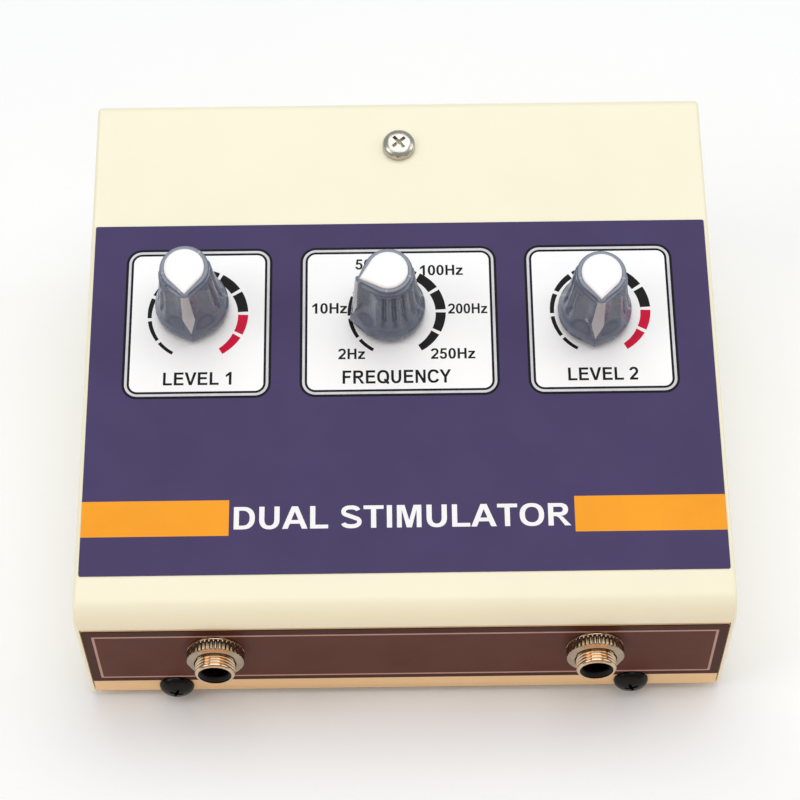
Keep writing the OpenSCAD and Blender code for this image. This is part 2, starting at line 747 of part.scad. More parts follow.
module board_fuse() {
    color("#cfd6da") translate([fuse_x, fuse_y, board_top + 4]) rotate([0, 90, 0]) translate([0, 0, -10])
        cylinder(r = 2.6, h = 20, $fn = 48);
}

module fuse_clips() {
    color("#c2b48a") for (s = [-1, 1]) translate([fuse_x + s * 7.6, fuse_y, board_top]) difference() {
        translate([-1.8, -3.4, 0]) cube([3.6, 6.8, 6]);
        translate([-3, 0, 4]) rotate([0, 90, 0]) cylinder(r = 2.65, h = 6, $fn = 48);
        translate([-3, -1.6, 4]) cube([6, 3.2, 4]);
    }
}

module mains_core() {
    color("#4a4b50") translate([mains_x, mains_y, floor_z]) laminated_core(core_w, core_d, core_h, 7);
}

module mains_coil() {
    color("#c8a85a") translate([mains_x, mains_y, floor_z + 7.2])
        coil(27.4, 38, core_h - 14.4, 14.2, core_d + 0.2);
}

module mains_strap() {
    color("#a7a8ac") translate([mains_x, mains_y, 0]) difference() {
        union() {
            translate([-core_w / 2 - 1.3, -core_d / 2, floor_z]) cube([core_w + 2.6, core_d, core_h + 1.3]);
            for (s = [-1, 1]) translate([s * (strap_hole - 0.5) - 4.6, -5, floor_z]) cube([9.2, 10, 1.3]);
        }
        translate([-core_w / 2 - 0.1, -core_d, floor_z - 1]) cube([core_w + 0.2, 2 * core_d, core_h + 1.1]);
        for (s = [-1, 1]) translate([s * strap_hole, 0, floor_z - 1]) cylinder(r = 1.7, h = 5, $fn = 32);
    }
}

module mains_screws() {
    color("#b4b4b8") for (p = mains_screw_places) translate([p[0], p[1], foot_h]) rotate([180, 0, 0])
        pan_screw(2.8, 1.5, 1.5, 6.6);
}

module mains_nuts() {
    color("#a9a9ac") for (p = mains_screw_places) translate([p[0], p[1], floor_z + 1.3])
        hex_nut(5.5, 1.55, 2.2);
}

// A point given in the sloping top's own directions.
function on_top(x, y, z) = [
    x, front_y + y * cos(slope) - z * sin(slope), corner_z + y * sin(slope) + z * cos(slope)
];

// Three thin wires from each control down to the board.
module control_leads() {
    lug_z = -sheet_t - 6.1;
    color("#c23b2e") for (i = [-1, 0, 1]) {
        lead(on_top(level_1_x + i * 4.5, level_1_y - 16.5, lug_z), [-26 + i * 3, -17, 24],
             [-9, -12 + i * 4, board_top + 0.5], 0.6);
        lead(on_top(freq_x + i * 4.5, freq_y - 16.5, lug_z), [freq_x + 3 + i * 3, -14, 29],
             [4 + i * 3, -15.5, board_top + 0.5], 0.6);
        lead(on_top(level_2_x + i * 4.5, level_2_y - 16.5, lug_z), [level_2_x + 3 + i * 3, -14, 28],
             [level_2_x + 4 + i * 3, -16.5, board_top + 0.5], 0.6);
    }
}

// Two wires from each jack back to the board.
module jack_leads() {
    color("#2f2f33") for (i = [-1, 1]) {
        lead([-jack_x + i * 3.6, front_y + 34.2, foot_h + jack_h + i * 3], [-29 + i * 3, -31 + i * 2, 19],
             [-9, -28 + i * 2.5, board_top + 0.8], 0.7);
        lead([jack_x + i * 3.6, front_y + 34.2, foot_h + jack_h + i * 3], [jack_x - 4 + i * 3, -35.5, 18],
             [jack_x - 6 + i * 3, -36.5, board_top + 0.8], 0.7);
    }
}

// Two wires from the transformer and two from the switch.
module power_leads() {
    color("#7a4a2b") for (i = [-1, 1]) {
        lead([mains_x + 8 + i * 2.5, mains_y - 19.9, 25], [-24 + i * 2, 6 + i * 2.5, 20],
             [-9, 12 + i * 3, board_top + 0.9], 0.8);
        lead([switch_x + i * 5, rear_face_y - 20.9, foot_h + switch_z], [switch_x + 5 + i * 4, 40, 26],
             [switch_x + 10 + i * 3, 30, board_top + 0.9], 0.8);
    }
}

top_cover();
chassis();
rear_panel();
front_panel();
top_label();
front_label();
cover_screw();
cover_clip();
lip_screws();
rubber_feet();
foot_screws();
foot_nuts();
knob_level_1();
knob_frequency();
knob_level_2();
cap_level_1();
cap_frequency();
cap_level_2();
shaft_level_1();
shaft_frequency();
shaft_level_2();
control_level_1();
control_frequency();
control_level_2();
control_nuts();
control_washers();
control_lugs();
jack_sleeve_1();
jack_sleeve_2();
jack_housing_1();
jack_housing_2();
jack_nuts();
jack_washers();
jack_lugs();
switch_frame();
switch_rocker();
switch_lugs();
inlet_bush();
inlet_locknut();
circuit_board();
standoffs();
board_screws();
timer_chips();
resistors();
component_legs();
electrolytic_capacitors();
film_capacitors();
power_transistors();
pulse_transformer_cores();
pulse_transformer_coils();
board_fuse();
fuse_clips();
mains_core();
mains_coil();
mains_strap();
mains_screws();
mains_nuts();
control_leads();
jack_leads();
power_leads();
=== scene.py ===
"""Looks of the two-channel stimulator console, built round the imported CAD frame.

Lengths in this script are millimetres until a mesh is made; Blender gets metres.
"""
import bpy
import bmesh
import json
import math
from mathutils import Matrix, Vector
from mathutils.geometry import tessellate_polygon


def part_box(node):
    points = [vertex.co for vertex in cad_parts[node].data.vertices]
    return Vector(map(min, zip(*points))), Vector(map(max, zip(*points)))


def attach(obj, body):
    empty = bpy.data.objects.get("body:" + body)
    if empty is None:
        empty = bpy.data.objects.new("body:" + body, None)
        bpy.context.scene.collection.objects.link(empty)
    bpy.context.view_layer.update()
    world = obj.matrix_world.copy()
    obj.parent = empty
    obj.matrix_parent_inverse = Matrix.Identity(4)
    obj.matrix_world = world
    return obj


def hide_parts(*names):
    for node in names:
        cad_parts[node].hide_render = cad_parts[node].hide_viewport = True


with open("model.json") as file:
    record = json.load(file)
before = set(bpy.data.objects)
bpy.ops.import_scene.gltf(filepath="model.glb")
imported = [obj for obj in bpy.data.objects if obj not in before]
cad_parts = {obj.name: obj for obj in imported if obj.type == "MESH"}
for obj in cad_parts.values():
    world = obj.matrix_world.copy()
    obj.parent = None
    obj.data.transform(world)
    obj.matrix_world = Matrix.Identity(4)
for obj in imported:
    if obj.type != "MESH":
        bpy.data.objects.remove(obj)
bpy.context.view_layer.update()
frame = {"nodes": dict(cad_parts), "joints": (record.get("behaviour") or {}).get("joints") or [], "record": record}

ROOT = "case"
joints = {j["name"]: j for j in frame["joints"]}


def box_mm(node):
    """Lowest and highest corner of a CAD node."""
    lo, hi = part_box(node)
    return lo * 1000, hi * 1000


# ---------------------------------------------------------------- places taken from the frame
down = Vector(joints["level_1_turn"]["axis"])
SLOPE = math.atan2(down.y, -down.z)
label_lo, label_hi = box_mm("top_label")
front_lo, front_hi = box_mm("front_label")
panel_lo = box_mm("front_panel")[0]
cover_hi = box_mm("top_cover")[1]
LABEL_T = panel_lo.y - front_lo.y
LABEL_W = label_hi.x - label_lo.x
LABEL_D = (label_hi.y - label_lo.y - LABEL_T * math.sin(SLOPE)) / math.cos(SLOPE)
FRONT_Y = panel_lo.y
BACK_Y = cover_hi.y
FOOT_Z = panel_lo.z
HALF_W = cover_hi.x
SHEET = 1.2                 # thickness of the cover's steel
label_y0 = label_lo.y + LABEL_T * math.sin(SLOPE)
CORNER_Z = label_lo.z - (label_y0 - FRONT_Y) * math.tan(SLOPE)
BACK_Z = CORNER_Z + (BACK_Y - FRONT_Y) * math.tan(SLOPE)
# On the sloping top: x to the right, y up the slope from the label's front edge, z out of it.
TOP = Matrix.Translation((0, label_y0, label_lo.z)) @ Matrix.Rotation(SLOPE, 4, "X")
# On the front: x to the right, y up, z out of the panel.
FRONT = Matrix.Translation((0, FRONT_Y, 0)) @ Matrix.Rotation(math.pi / 2, 4, "X")


def front_at(x, z):
    """On the front panel, z out of it."""
    return FRONT @ Matrix.Translation((x, z, 0))


def control_at(joint):
    """On a control's axis, z out along its shaft."""
    return Matrix.Translation(Vector(joints[joint]["pos_m"]) * 1000) @ Matrix.Rotation(SLOPE, 4, "X")


CONTROLS = ("level_1_turn", "frequency_turn", "level_2_turn")


# ---------------------------------------------------------------- mesh helpers
def make(name, verts, faces, place=None, mat=None, sharp=35, body=ROOT, slot=None, replaces=()):
    """An object from points in millimetres, on its body and in the place of the CAD nodes it replaces."""
    me = bpy.data.meshes.new(name)
    m = place or Matrix.Identity(4)
    me.from_pydata([(m @ Vector(v)) / 1000 for v in verts], [], faces)
    me.validate()
    ob = bpy.data.objects.new(name, me)
    bpy.context.scene.collection.objects.link(ob)
    tidy(ob, sharp)
    if mat:
        me.materials.append(mat)
    if body:
        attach(ob, body)
    if replaces:
        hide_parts(*replaces)
    return ob


def tidy(ob, sharp=35):
    """Faces point outward, and edges sharper than this many degrees stay sharp."""
    bm = bmesh.new()
    bm.from_mesh(ob.data)
    bmesh.ops.recalc_face_normals(bm, faces=bm.faces)
    bm.to_mesh(ob.data)
    bm.free()
    ob.data.shade_smooth()
    ob.data.set_sharp_from_angle(angle=math.radians(sharp))


def settle(ob):
    """Makes the result of an object's modifiers its mesh."""
    dg = bpy.context.evaluated_depsgraph_get()
    me = bpy.data.meshes.new_from_object(ob.evaluated_get(dg))
    ob.modifiers.clear()
    ob.data = me


def even_normals(ob):
    """Large flat faces shade flat right up to the small ones beside them."""
    m = ob.modifiers.new("normals", "WEIGHTED_NORMAL")
    m.mode, m.weight, m.keep_sharp = "FACE_AREA", 100, True


def cut(ob, cutters, sharp=35):
    """Takes the cutters away from the object, and removes them."""
    for c in cutters:
        m = ob.modifiers.new("cut", "BOOLEAN")
        m.operation, m.solver, m.object = "DIFFERENCE", "EXACT", c
        settle(ob)
        bpy.data.objects.remove(c)
    tidy(ob, sharp)
    even_normals(ob)


WELD_GAP = 2e-6             # metres between points that are one point


def soften(ob, width, angle=40, weld=False):
    """Rounds the sharp edges a little, by modifiers, so a CAD node's own mesh stays as it was."""
    if weld:
        w = ob.modifiers.new("weld", "WELD")
        w.merge_threshold = WELD_GAP
    b = ob.modifiers.new("edges", "BEVEL")
    b.width = width / 1000
    b.segments = 2
    b.limit_method = "ANGLE"
    b.angle_limit = math.radians(angle)
    b.use_clamp_overlap = True
    b.harden_normals = False
    even_normals(ob)


def grid(rows, loop=True, closed_rows=False):
    """Faces between rows of points. A row with one point is a pole."""
    verts, faces, starts = [], [], []
    for r in rows:
        starts.append(len(verts))
        verts += r
    pairs = list(zip(range(len(rows)), range(1, len(rows))))
    if closed_rows:
        pairs.append((len(rows) - 1, 0))
    for i, j in pairs:
        a, b, na, nb = starts[i], starts[j], len(rows[i]), len(rows[j])
        n = max(na, nb)
        for k in range(n if loop else n - 1):
            k2 = (k + 1) % n
            if na == 1:
                faces.append((a, b + k2, b + k))
            elif nb == 1:
                faces.append((a + k, a + k2, b))
            else:
                faces.append((a + k, a + k2, b + k2, b + k))
    return verts, faces


ON_AXIS = 1e-6              # a profile point nearer the axis than this is on it


def lathe(profile, n=96, closed=False, ripple=None):
    """Turns (radius, height) points about z. ripple(angle, radius, height) gives the radius there."""
    rows = []
    for r, z in profile:
        if r < ON_AXIS:
            rows.append([(0, 0, z)])
        else:
            row = []
            for k in range(n):
                t = 2 * math.pi * k / n
                rr = ripple(t, r, z) if ripple else r
                row.append((rr * math.cos(t), rr * math.sin(t), z))
            rows.append(row)
    return grid(rows, closed_rows=closed)


def prism(points, z0, z1):
    """A flat outline made solid between two heights."""
    n = len(points)
    verts = [(x, y, z0) for x, y in points] + [(x, y, z1) for x, y in points]
    faces = [tuple(range(n - 1, -1, -1)), tuple(range(n, 2 * n))]
    faces += [(k, (k + 1) % n, n + (k + 1) % n, n + k) for k in range(n)]
    return verts, faces


def frame_plate(outer, inner, z0, z1):
    """A flat plate with one opening. Both outlines have the same number of points."""
    n = len(outer)
    verts = [(x, y, z) for z in (z0, z1) for ring in (outer, inner) for x, y in ring]
    low_in, top_out, top_in = n, 2 * n, 3 * n      # where each ring starts; the low outer one starts at 0
    faces = []
    for k in range(n):
        j = (k + 1) % n
        faces += [(k, low_in + k, low_in + j, j), (top_out + k, top_out + j, top_in + j, top_in + k),
                  (k, j, top_out + j, top_out + k), (low_in + k, top_in + k, top_in + j, low_in + j)]
    return verts, faces


def join_parts(parts):
    """Several (points, faces) pairs as one."""
    verts, faces = [], []
    for v, f in parts:
        s = len(verts)
        verts += v
        faces += [tuple(i + s for i in q) for q in f]
    return verts, faces


def block(x0, y0, z0, x1, y1, z1):
    """A box between two corners."""
    return prism([(x0, y0), (x1, y0), (x1, y1), (x0, y1)], z0, z1)


def drill(r, reach, place, n=48):
    """A round cutter along z, as long as reach each way."""
    profile = [(0, -reach), (r, -reach), (r, reach), (0, reach)]
    return make("drill", *lathe(profile, n), place=place, body=None)


def round_box(x0, y0, x1, y1, r, n=8):
    """Outline of a rectangle with round corners."""
    out = []
    for cx, cy, a in ((x1 - r, y1 - r, 0), (x0 + r, y1 - r, 90),
                      (x0 + r, y0 + r, 180), (x1 - r, y0 + r, 270)):
        for k in range(n + 1):
            t = math.radians(a + 90 * k / n)
            out.append((cx + r * math.cos(t), cy + r * math.sin(t)))
    return out


def between(x, table):
    """Straight-line value at x from (x, value) pairs in rising order."""
    if x <= table[0][0]:
        return table[0][1]
    for (a, va), (b, vb) in zip(table, table[1:]):
        if x <= b:
            return va + (vb - va) * (x - a) / (b - a)
    return table[-1][1]


def smooth(x):
    """Eases from 0 to 1 as x does."""
    x = max(0.0, min(1.0, x))
    return x * x * (3 - 2 * x)


# ---------------------------------------------------------------- materials
NOISE_LOW, NOISE_HIGH = 0.3, 0.7    # the part of the noise that carries the variation
HIGHLIGHT_FROM, HIGHLIGHT_TO = 0.53, 0.6      # pointiness at which an edge starts to take the painted highlight, and takes it fully


def srgb(*rgb):
    """A colour given from 0 to 255, in the linear values that shaders take."""
    parts = [c / 255 for c in rgb]
    return tuple(c / 12.92 if c <= 0.04045 else ((c + 0.055) / 1.055) ** 2.4 for c in parts)


def surface(name, color, rough, metal=0.0, vary=(400, 0.04), rough_vary=(700, 0.08),
            bump=(2500, 0.15, 0.00003), coat=0.0, coat_rough=0.08, spec=0.5, second=None, edge_highlight=None,
            transmission=0.0):
    """A finish made of fine noise: colour, roughness and bump each vary over the surface.

    Each of vary and rough_vary is a noise scale and how far the value strays. bump is a noise scale,
    its strength and its height in metres. The colour runs from color to second, if there is one, and
    sharp edges are painted the lighter colour edge_highlight, a painted highlight along ridges and rims.
    """
    mat = bpy.data.materials.new(name)
    mat.use_nodes = True
    nt = mat.node_tree
    nodes, links = nt.nodes, nt.links
    nodes.clear()
    out = nodes.new("ShaderNodeOutputMaterial")
    sh = nodes.new("ShaderNodeBsdfPrincipled")
    links.new(sh.outputs[0], out.inputs[0])
    tc = nodes.new("ShaderNodeTexCoord")

    def noise(scale, detail):
        n = nodes.new("ShaderNodeTexNoise")
        n.inputs["Scale"].default_value = scale
        n.inputs["Detail"].default_value = detail
        links.new(tc.outputs["Object"], n.inputs["Vector"])
        return n.outputs["Fac"]

    ramp = nodes.new("ShaderNodeValToRGB")
    links.new(noise(vary[0], 5.0), ramp.inputs["Fac"])
    lo = [c * (1 - vary[1]) for c in srgb(*color)]
    hi = [min(1.0, c * (1 + vary[1])) for c in srgb(*(second or color))]
    ramp.color_ramp.elements[0].position = NOISE_LOW
    ramp.color_ramp.elements[0].color = (*lo, 1)
    ramp.color_ramp.elements[1].position = NOISE_HIGH
    ramp.color_ramp.elements[1].color = (*hi, 1)
    colour = ramp.outputs["Color"]
    # Pointy edges get a lighter colour: a painted highlight along ridges and rims.
    if edge_highlight:
        geo = nodes.new("ShaderNodeNewGeometry")
        edge = nodes.new("ShaderNodeMapRange")
        edge.inputs["From Min"].default_value = HIGHLIGHT_FROM
        edge.inputs["From Max"].default_value = HIGHLIGHT_TO
        links.new(geo.outputs["Pointiness"], edge.inputs["Value"])
        mix = nodes.new("ShaderNodeMix")
        mix.data_type = "RGBA"
        links.new(edge.outputs["Result"], mix.inputs["Factor"])
        links.new(colour, mix.inputs["A"])
        mix.inputs["B"].default_value = (*srgb(*edge_highlight), 1)
        colour = mix.outputs["Result"]
    links.new(colour, sh.inputs["Base Color"])
    mr = nodes.new("ShaderNodeMapRange")
    links.new(noise(rough_vary[0], 3.0), mr.inputs["Value"])
    mr.inputs["From Min"].default_value = NOISE_LOW
    mr.inputs["From Max"].default_value = NOISE_HIGH
    mr.inputs["To Min"].default_value = max(0.02, rough - rough_vary[1])
    mr.inputs["To Max"].default_value = min(1.0, rough + rough_vary[1])
    links.new(mr.outputs["Result"], sh.inputs["Roughness"])
    b = nodes.new("ShaderNodeBump")
    b.inputs["Strength"].default_value = bump[1]
    b.inputs["Distance"].default_value = bump[2]
    links.new(noise(bump[0], 2.0), b.inputs["Height"])
    links.new(b.outputs["Normal"], sh.inputs["Normal"])
    sh.inputs["Metallic"].default_value = metal
    sh.inputs["Specular IOR Level"].default_value = spec
    sh.inputs["Coat Weight"].default_value = coat
    sh.inputs["Coat Roughness"].default_value = coat_rough
    sh.inputs["Transmission Weight"].default_value = transmission
    return mat


PRINTED = (3200, 0.1, 0.00002)      # bump of ink and vinyl
INSULATION = (2000, 0.2, 0.00003)   # bump of wire covering

M = {
    "cream": surface("cream_powder_coat", (247, 241, 212), 0.34, vary=(35, 0.015),
                     rough_vary=(60, 0.05), bump=(1100, 0.10, 0.00004), coat=0.25, coat_rough=0.2),
    "chassis": surface("chassis_powder_coat", (240, 222, 184), 0.42, vary=(30, 0.02),
                       rough_vary=(60, 0.06), bump=(1100, 0.14, 0.00004), coat=0.1, coat_rough=0.3),
    # The front panel's cream paint is tinted tan: painted warm light bounced up from a surface in front.
    "front_beige_warm_bounce": surface("front_panel_coat_painted_warm", (246, 209, 156), 0.42, vary=(30, 0.02),
                           rough_vary=(60, 0.06), bump=(1100, 0.14, 0.00004), coat=0.1, coat_rough=0.3),
    "indigo": surface("indigo_vinyl", (73, 62, 103), 0.42, vary=(60, 0.05), rough_vary=(90, 0.07),
                      bump=PRINTED, spec=0.12),
    "brown": surface("brown_vinyl", (92, 53, 41), 0.42, vary=(60, 0.06), rough_vary=(90, 0.07),
                     bump=PRINTED, spec=0.12),
    "brown_edge": surface("brown_vinyl_edge", (70, 38, 28), 0.42, vary=(60, 0.06),
                          rough_vary=(90, 0.07), bump=PRINTED, spec=0.12),
    "pale_line": surface("pale_line_ink", (190, 150, 140), 0.45, vary=(300, 0.06), bump=PRINTED,
                         spec=0.15),
    "white_ink": surface("white_ink", (246, 246, 246), 0.4, vary=(120, 0.012), rough_vary=(200, 0.06),
                         bump=(3200, 0.08, 0.00002)),
    "panel_white": surface("panel_white_ink", (255, 255, 255), 0.38, vary=(50, 0.012),
                           rough_vary=(80, 0.06), bump=(3200, 0.08, 0.00002)),
    "silver_ink": surface("silver_ink", (214, 214, 220), 0.35, vary=(260, 0.08), bump=PRINTED, spec=0.3),
    "black_ink": surface("black_ink", (16, 14, 16), 0.4, vary=(300, 0.2), bump=PRINTED, spec=0.12),
    "red_ink": surface("red_ink", (214, 3, 58), 0.4, vary=(300, 0.06), bump=PRINTED, spec=0.12),
    "orange_ink": surface("orange_ink", (252, 165, 40), 0.42, vary=(60, 0.04), rough_vary=(90, 0.06),
                          bump=PRINTED, spec=0.12),
    # The knob's sharp ridges and rim are painted lighter, as a painted highlight.
    "knob": surface("knob_grey_plastic", (95, 105, 125), 0.26, vary=(260, 0.07), rough_vary=(500, 0.07),
                    bump=(2600, 0.12, 0.00003), coat=0.3, coat_rough=0.2, edge_highlight=(160, 162, 176)),
    "pointer": surface("pointer_grey_paint", (196, 196, 202), 0.34, vary=(300, 0.05),
                       bump=(2600, 0.1, 0.00003)),
    "cap": surface("cap_white_plastic", (250, 250, 250), 0.25, vary=(200, 0.01), rough_vary=(300, 0.05),
                   bump=(1800, 0.06, 0.00003), coat=0.3, coat_rough=0.12),
    "nickel": surface("nickel_plate", (198, 194, 184), 0.27, metal=1.0, vary=(500, 0.10),
                      rough_vary=(700, 0.10), bump=(1500, 0.18, 0.00003)),
    # The jack metal is nickel tinted warm, as a painted reflection of a warm surface in front. The ring nut is
    # darker as well, a painted dark reflection on its top.
    "chrome_painted_warm_reflection": surface("jack_chrome", (208, 184, 154), 0.12, metal=1.0, vary=(500, 0.07),
                      rough_vary=(800, 0.07), bump=(1300, 0.12, 0.00003)),
    "nut_chrome_painted_reflection": surface("ring_nut_painted_reflection", (166, 150, 130), 0.1, metal=1.0, vary=(500, 0.1),
                          rough_vary=(800, 0.07), bump=(1300, 0.12, 0.00003)),
    "zinc": surface("zinc_steel", (190, 191, 196), 0.36, metal=1.0, vary=(350, 0.12),
                    rough_vary=(500, 0.12), bump=(1600, 0.2, 0.00003)),
    "black_steel": surface("black_enamel", (4, 4, 5), 0.24, vary=(500, 0.25), rough_vary=(600, 0.05),
                           bump=(1500, 0.12, 0.00003), spec=0.18, coat=0.06, coat_rough=0.12),
    "rubber": surface("foot_rubber", (34, 34, 36), 0.72, vary=(400, 0.2), rough_vary=(500, 0.1),
                      bump=(2200, 0.35, 0.00005), spec=0.35),
    "alloy": surface("shaft_alloy", (206, 206, 210), 0.3, metal=1.0, vary=(300, 0.08),
                     bump=(2200, 0.2, 0.00003)),
    "black_plastic": surface("black_moulding", (28, 28, 31), 0.36, vary=(500, 0.2),
                             rough_vary=(600, 0.08), bump=(2400, 0.25, 0.00004), coat=0.1,
                             coat_rough=0.3),
    "socket": surface("socket_black", (7, 7, 8), 0.5, vary=(500, 0.2), bump=(2400, 0.25, 0.00004),
                      spec=0.3),
    "tinned": surface("tinned_brass", (202, 194, 168), 0.34, metal=1.0, vary=(400, 0.12),
                      bump=(1800, 0.2, 0.00003)),
    "board": surface("solder_mask", (30, 104, 58), 0.34, vary=(700, 0.25), second=(44, 128, 70),
                     bump=(900, 0.3, 0.00005), coat=0.3),
    "brass": surface("brass", (212, 178, 102), 0.3, metal=1.0, vary=(400, 0.12),
                     bump=(1800, 0.2, 0.00003)),
    "chip": surface("chip_epoxy", (36, 36, 38), 0.6, vary=(700, 0.2), bump=(3000, 0.3, 0.00003)),
    "resistor": surface("resistor_tan", (205, 172, 130), 0.45, vary=(600, 0.12),
                        bump=(2500, 0.2, 0.00003)),
    "sleeve": surface("capacitor_sleeve", (28, 62, 134), 0.35, vary=(500, 0.12),
                      bump=(2500, 0.15, 0.00003), coat=0.3),
    "film": surface("film_capacitor", (176, 62, 40), 0.35, vary=(500, 0.12), bump=(1800, 0.2, 0.00004),
                    coat=0.3),
    "iron": surface("core_iron", (98, 98, 102), 0.55, metal=0.8, vary=(300, 0.2),
                    bump=(900, 0.5, 0.00006)),
    "tape": surface("coil_tape", (204, 170, 92), 0.5, vary=(350, 0.12), bump=(1200, 0.25, 0.00005)),
    "fuse": surface("fuse_glass", (226, 232, 236), 0.08, vary=(400, 0.03), bump=(1500, 0.05, 0.00002),
                    transmission=0.6),
    "wire_red": surface("wire_red", (186, 44, 34), 0.42, vary=(500, 0.1), bump=INSULATION),
    "wire_black": surface("wire_black", (44, 44, 48), 0.45, vary=(500, 0.15), bump=INSULATION),
    "wire_brown": surface("wire_brown", (118, 72, 42), 0.45, vary=(500, 0.12), bump=INSULATION),
}

SLOT_FINISH = {
    "cream_paint": "cream", "chassis_paint": "chassis", "indigo_vinyl": "indigo", "brown_vinyl": "brown",
    "nickel": "nickel", "jack_chrome": "chrome_painted_warm_reflection", "zinc_steel": "zinc", "black_steel": "black_steel",
    "rubber": "rubber", "knob_grey": "knob", "cap_white": "cap", "shaft_alloy": "alloy",
    "black_plastic": "black_plastic", "tinned_brass": "tinned", "board_green": "board", "brass": "brass",
    "chip_black": "chip", "resistor_tan": "resistor", "capacitor_sleeve": "sleeve", "film_red": "film",
    "core_iron": "iron", "coil_tape": "tape", "fuse_glass": "fuse", "wire_red": "wire_red",
    "wire_black": "wire_black", "wire_brown": "wire_brown",
}
for part in frame["record"]["subparts"]:
    node = frame["nodes"][part["node"]]
    finish = M[SLOT_FINISH[part["material_slot"]]]
    node.data.materials.clear()
    # The front panel takes the tan tinted paint, a painted warm bounce.
    node.data.materials.append(M["front_beige_warm_bounce"] if part["node"] == "front_panel" else finish)

# ---------------------------------------------------------------- the folded cover
NOSE_R, BACK_R, SIDE_R = 6.5, 2.5, 1.0     # outer radii of the folds
NOSE_STEPS, BACK_STEPS, SIDE_STEPS = 28, 14, 8
BACK_LAP = 9                                # how far the cover laps down over the rear panel
INWARD, OUTWARD, AHEAD = 9, 5, 3            # how far the cutters reach past the sheet
SHAFT_HOLE, SCREW_HOLE, DRILL_REACH = 3.65, 2.2, 8
SCREW_FROM_BACK = 14.5                      # up the slope
nose_tangent = NOSE_R / math.tan((math.pi / 2 + SLOPE) / 2)
NOSE_END = CORNER_Z - nose_tangent
back_tangent = BACK_R / math.tan((math.pi / 2 - SLOPE) / 2)
LAP_Z = BACK_Z - BACK_LAP


def arc(cy, cz, r, a, b, n):
    """Points of an arc in (y, z), from angle a to angle b in degrees."""
    angles = [math.radians(a + (b - a) * k / n) for k in range(n + 1)]
    return [(cy + r * math.cos(t), cz + r * math.sin(t)) for t in angles]


def side_view(inset, low):
    """The box seen from its left side, shrunk inward by inset, down to height low."""
    s = math.degrees(SLOPE)
    return ([(FRONT_Y + inset, low)]
            + arc(FRONT_Y + NOSE_R, NOSE_END, NOSE_R - inset, 180, 90 + s, NOSE_STEPS)
            + arc(BACK_Y - BACK_R, BACK_Z - back_tangent, BACK_R - inset, 90 + s, 0, BACK_STEPS)
            + [(BACK_Y - inset, low)])


def cover_rows():
    """Side views from the left wall to the right one, rounded where the walls fold down."""
    half = []
    for k in range(SIDE_STEPS + 1):
        t = math.pi / 2 * k / SIDE_STEPS
        half.append((HALF_W - SIDE_R + SIDE_R * math.sin(t), side_view(SIDE_R * (1 - math.cos(t)), FOOT_Z)))
    return ([[(-x, y, z) for y, z in view] for x, view in half[::-1]]
            + [[(x, y, z) for y, z in view] for x, view in half])


def capped(rows):
    """The faces between rows, with both ends closed."""
    verts, faces = grid(rows)
    n, last = len(rows[0]), len(verts) - 1
    return verts, faces + [tuple(range(n)), tuple(range(last, last - n, -1))]


cover = make("cover_sheet", *capped(cover_rows()), mat=M["cream"], sharp=30, slot="cream_paint",
             replaces=["top_cover"])
inner_x = HALF_W - SHEET
verts, faces = prism(side_view(SHEET, FOOT_Z - OUTWARD), -inner_x, inner_x)
screw_up = (BACK_Y - FRONT_Y) / math.cos(SLOPE) - SCREW_FROM_BACK - (label_y0 - FRONT_Y) / math.cos(SLOPE)
SCREW = TOP @ Matrix.Translation((0, screw_up, 0))
cutters = [make("inside", [(z, x, y) for x, y, z in verts], faces, body=None)]
for y0, y1, top in ((FRONT_Y - AHEAD, FRONT_Y + INWARD, NOSE_END),
                    (BACK_Y - INWARD, BACK_Y + OUTWARD, LAP_Z)):
    cutters.append(make("wall", *block(-inner_x, y0, 0, inner_x, y1, top), body=None))
cutters += [drill(SHAFT_HOLE, DRILL_REACH, control_at(name)) for name in CONTROLS]
cutters.append(drill(SCREW_HOLE, DRILL_REACH, SCREW))
cut(cover, cutters, sharp=30)
soften(cover, 0.14, angle=55)
settle(cover)
tidy(cover, 40)
even_normals(cover)

# ---------------------------------------------------------------- labels and their printing
PRINT = 0.02                # thickness of each layer of print
LABEL_SHAFT_HOLE, HOLE_REACH = 3.8, 3
Z0, Z1 = LABEL_T, LABEL_T + PRINT
label = make("top_label_sheet", *prism(round_box(-LABEL_W / 2, 0, LABEL_W / 2, LABEL_D, 0.5, 4), 0, LABEL_T),
             place=TOP, mat=M["indigo"], slot="indigo_vinyl", replaces=["top_label"])
cut(label, [drill(LABEL_SHAFT_HOLE, HOLE_REACH, control_at(name)) for name in CONTROLS])


def up(from_back):
    """Height on the label of a point this far from its back edge."""
    return LABEL_D - from_back


PANELS = ((-70.4, -32.9), (-25.7, 24.6), (31.8, 69.8))     # left and right edge of each dial panel
PANEL_LOW, PANEL_HIGH, PANEL_R = up(48.7), up(6.9), 4.0
BARS = ((-LABEL_W / 2, -42.7), (41.8, LABEL_W / 2))
BAR_LOW, BAR_HIGH = up(85.1), up(75.9)
# Insets from the panel's edge at which each line of its frame starts, and the last one ends.
OUTER_AT, SILVER_AT, INNER_AT, WHITE_AT = 0.0, 0.65, 1.3, 1.9


def panel_outline(x0, x1, inset):
    r = max(0.6, PANEL_R - inset)
    return round_box(x0 + inset, PANEL_LOW + inset, x1 - inset, PANEL_HIGH - inset, r)


def printed(name, parts, ink):
    """Solids of print on the top label, as one piece."""
    make(name, *join_parts(parts), place=TOP, mat=M[ink], slot="indigo_vinyl")


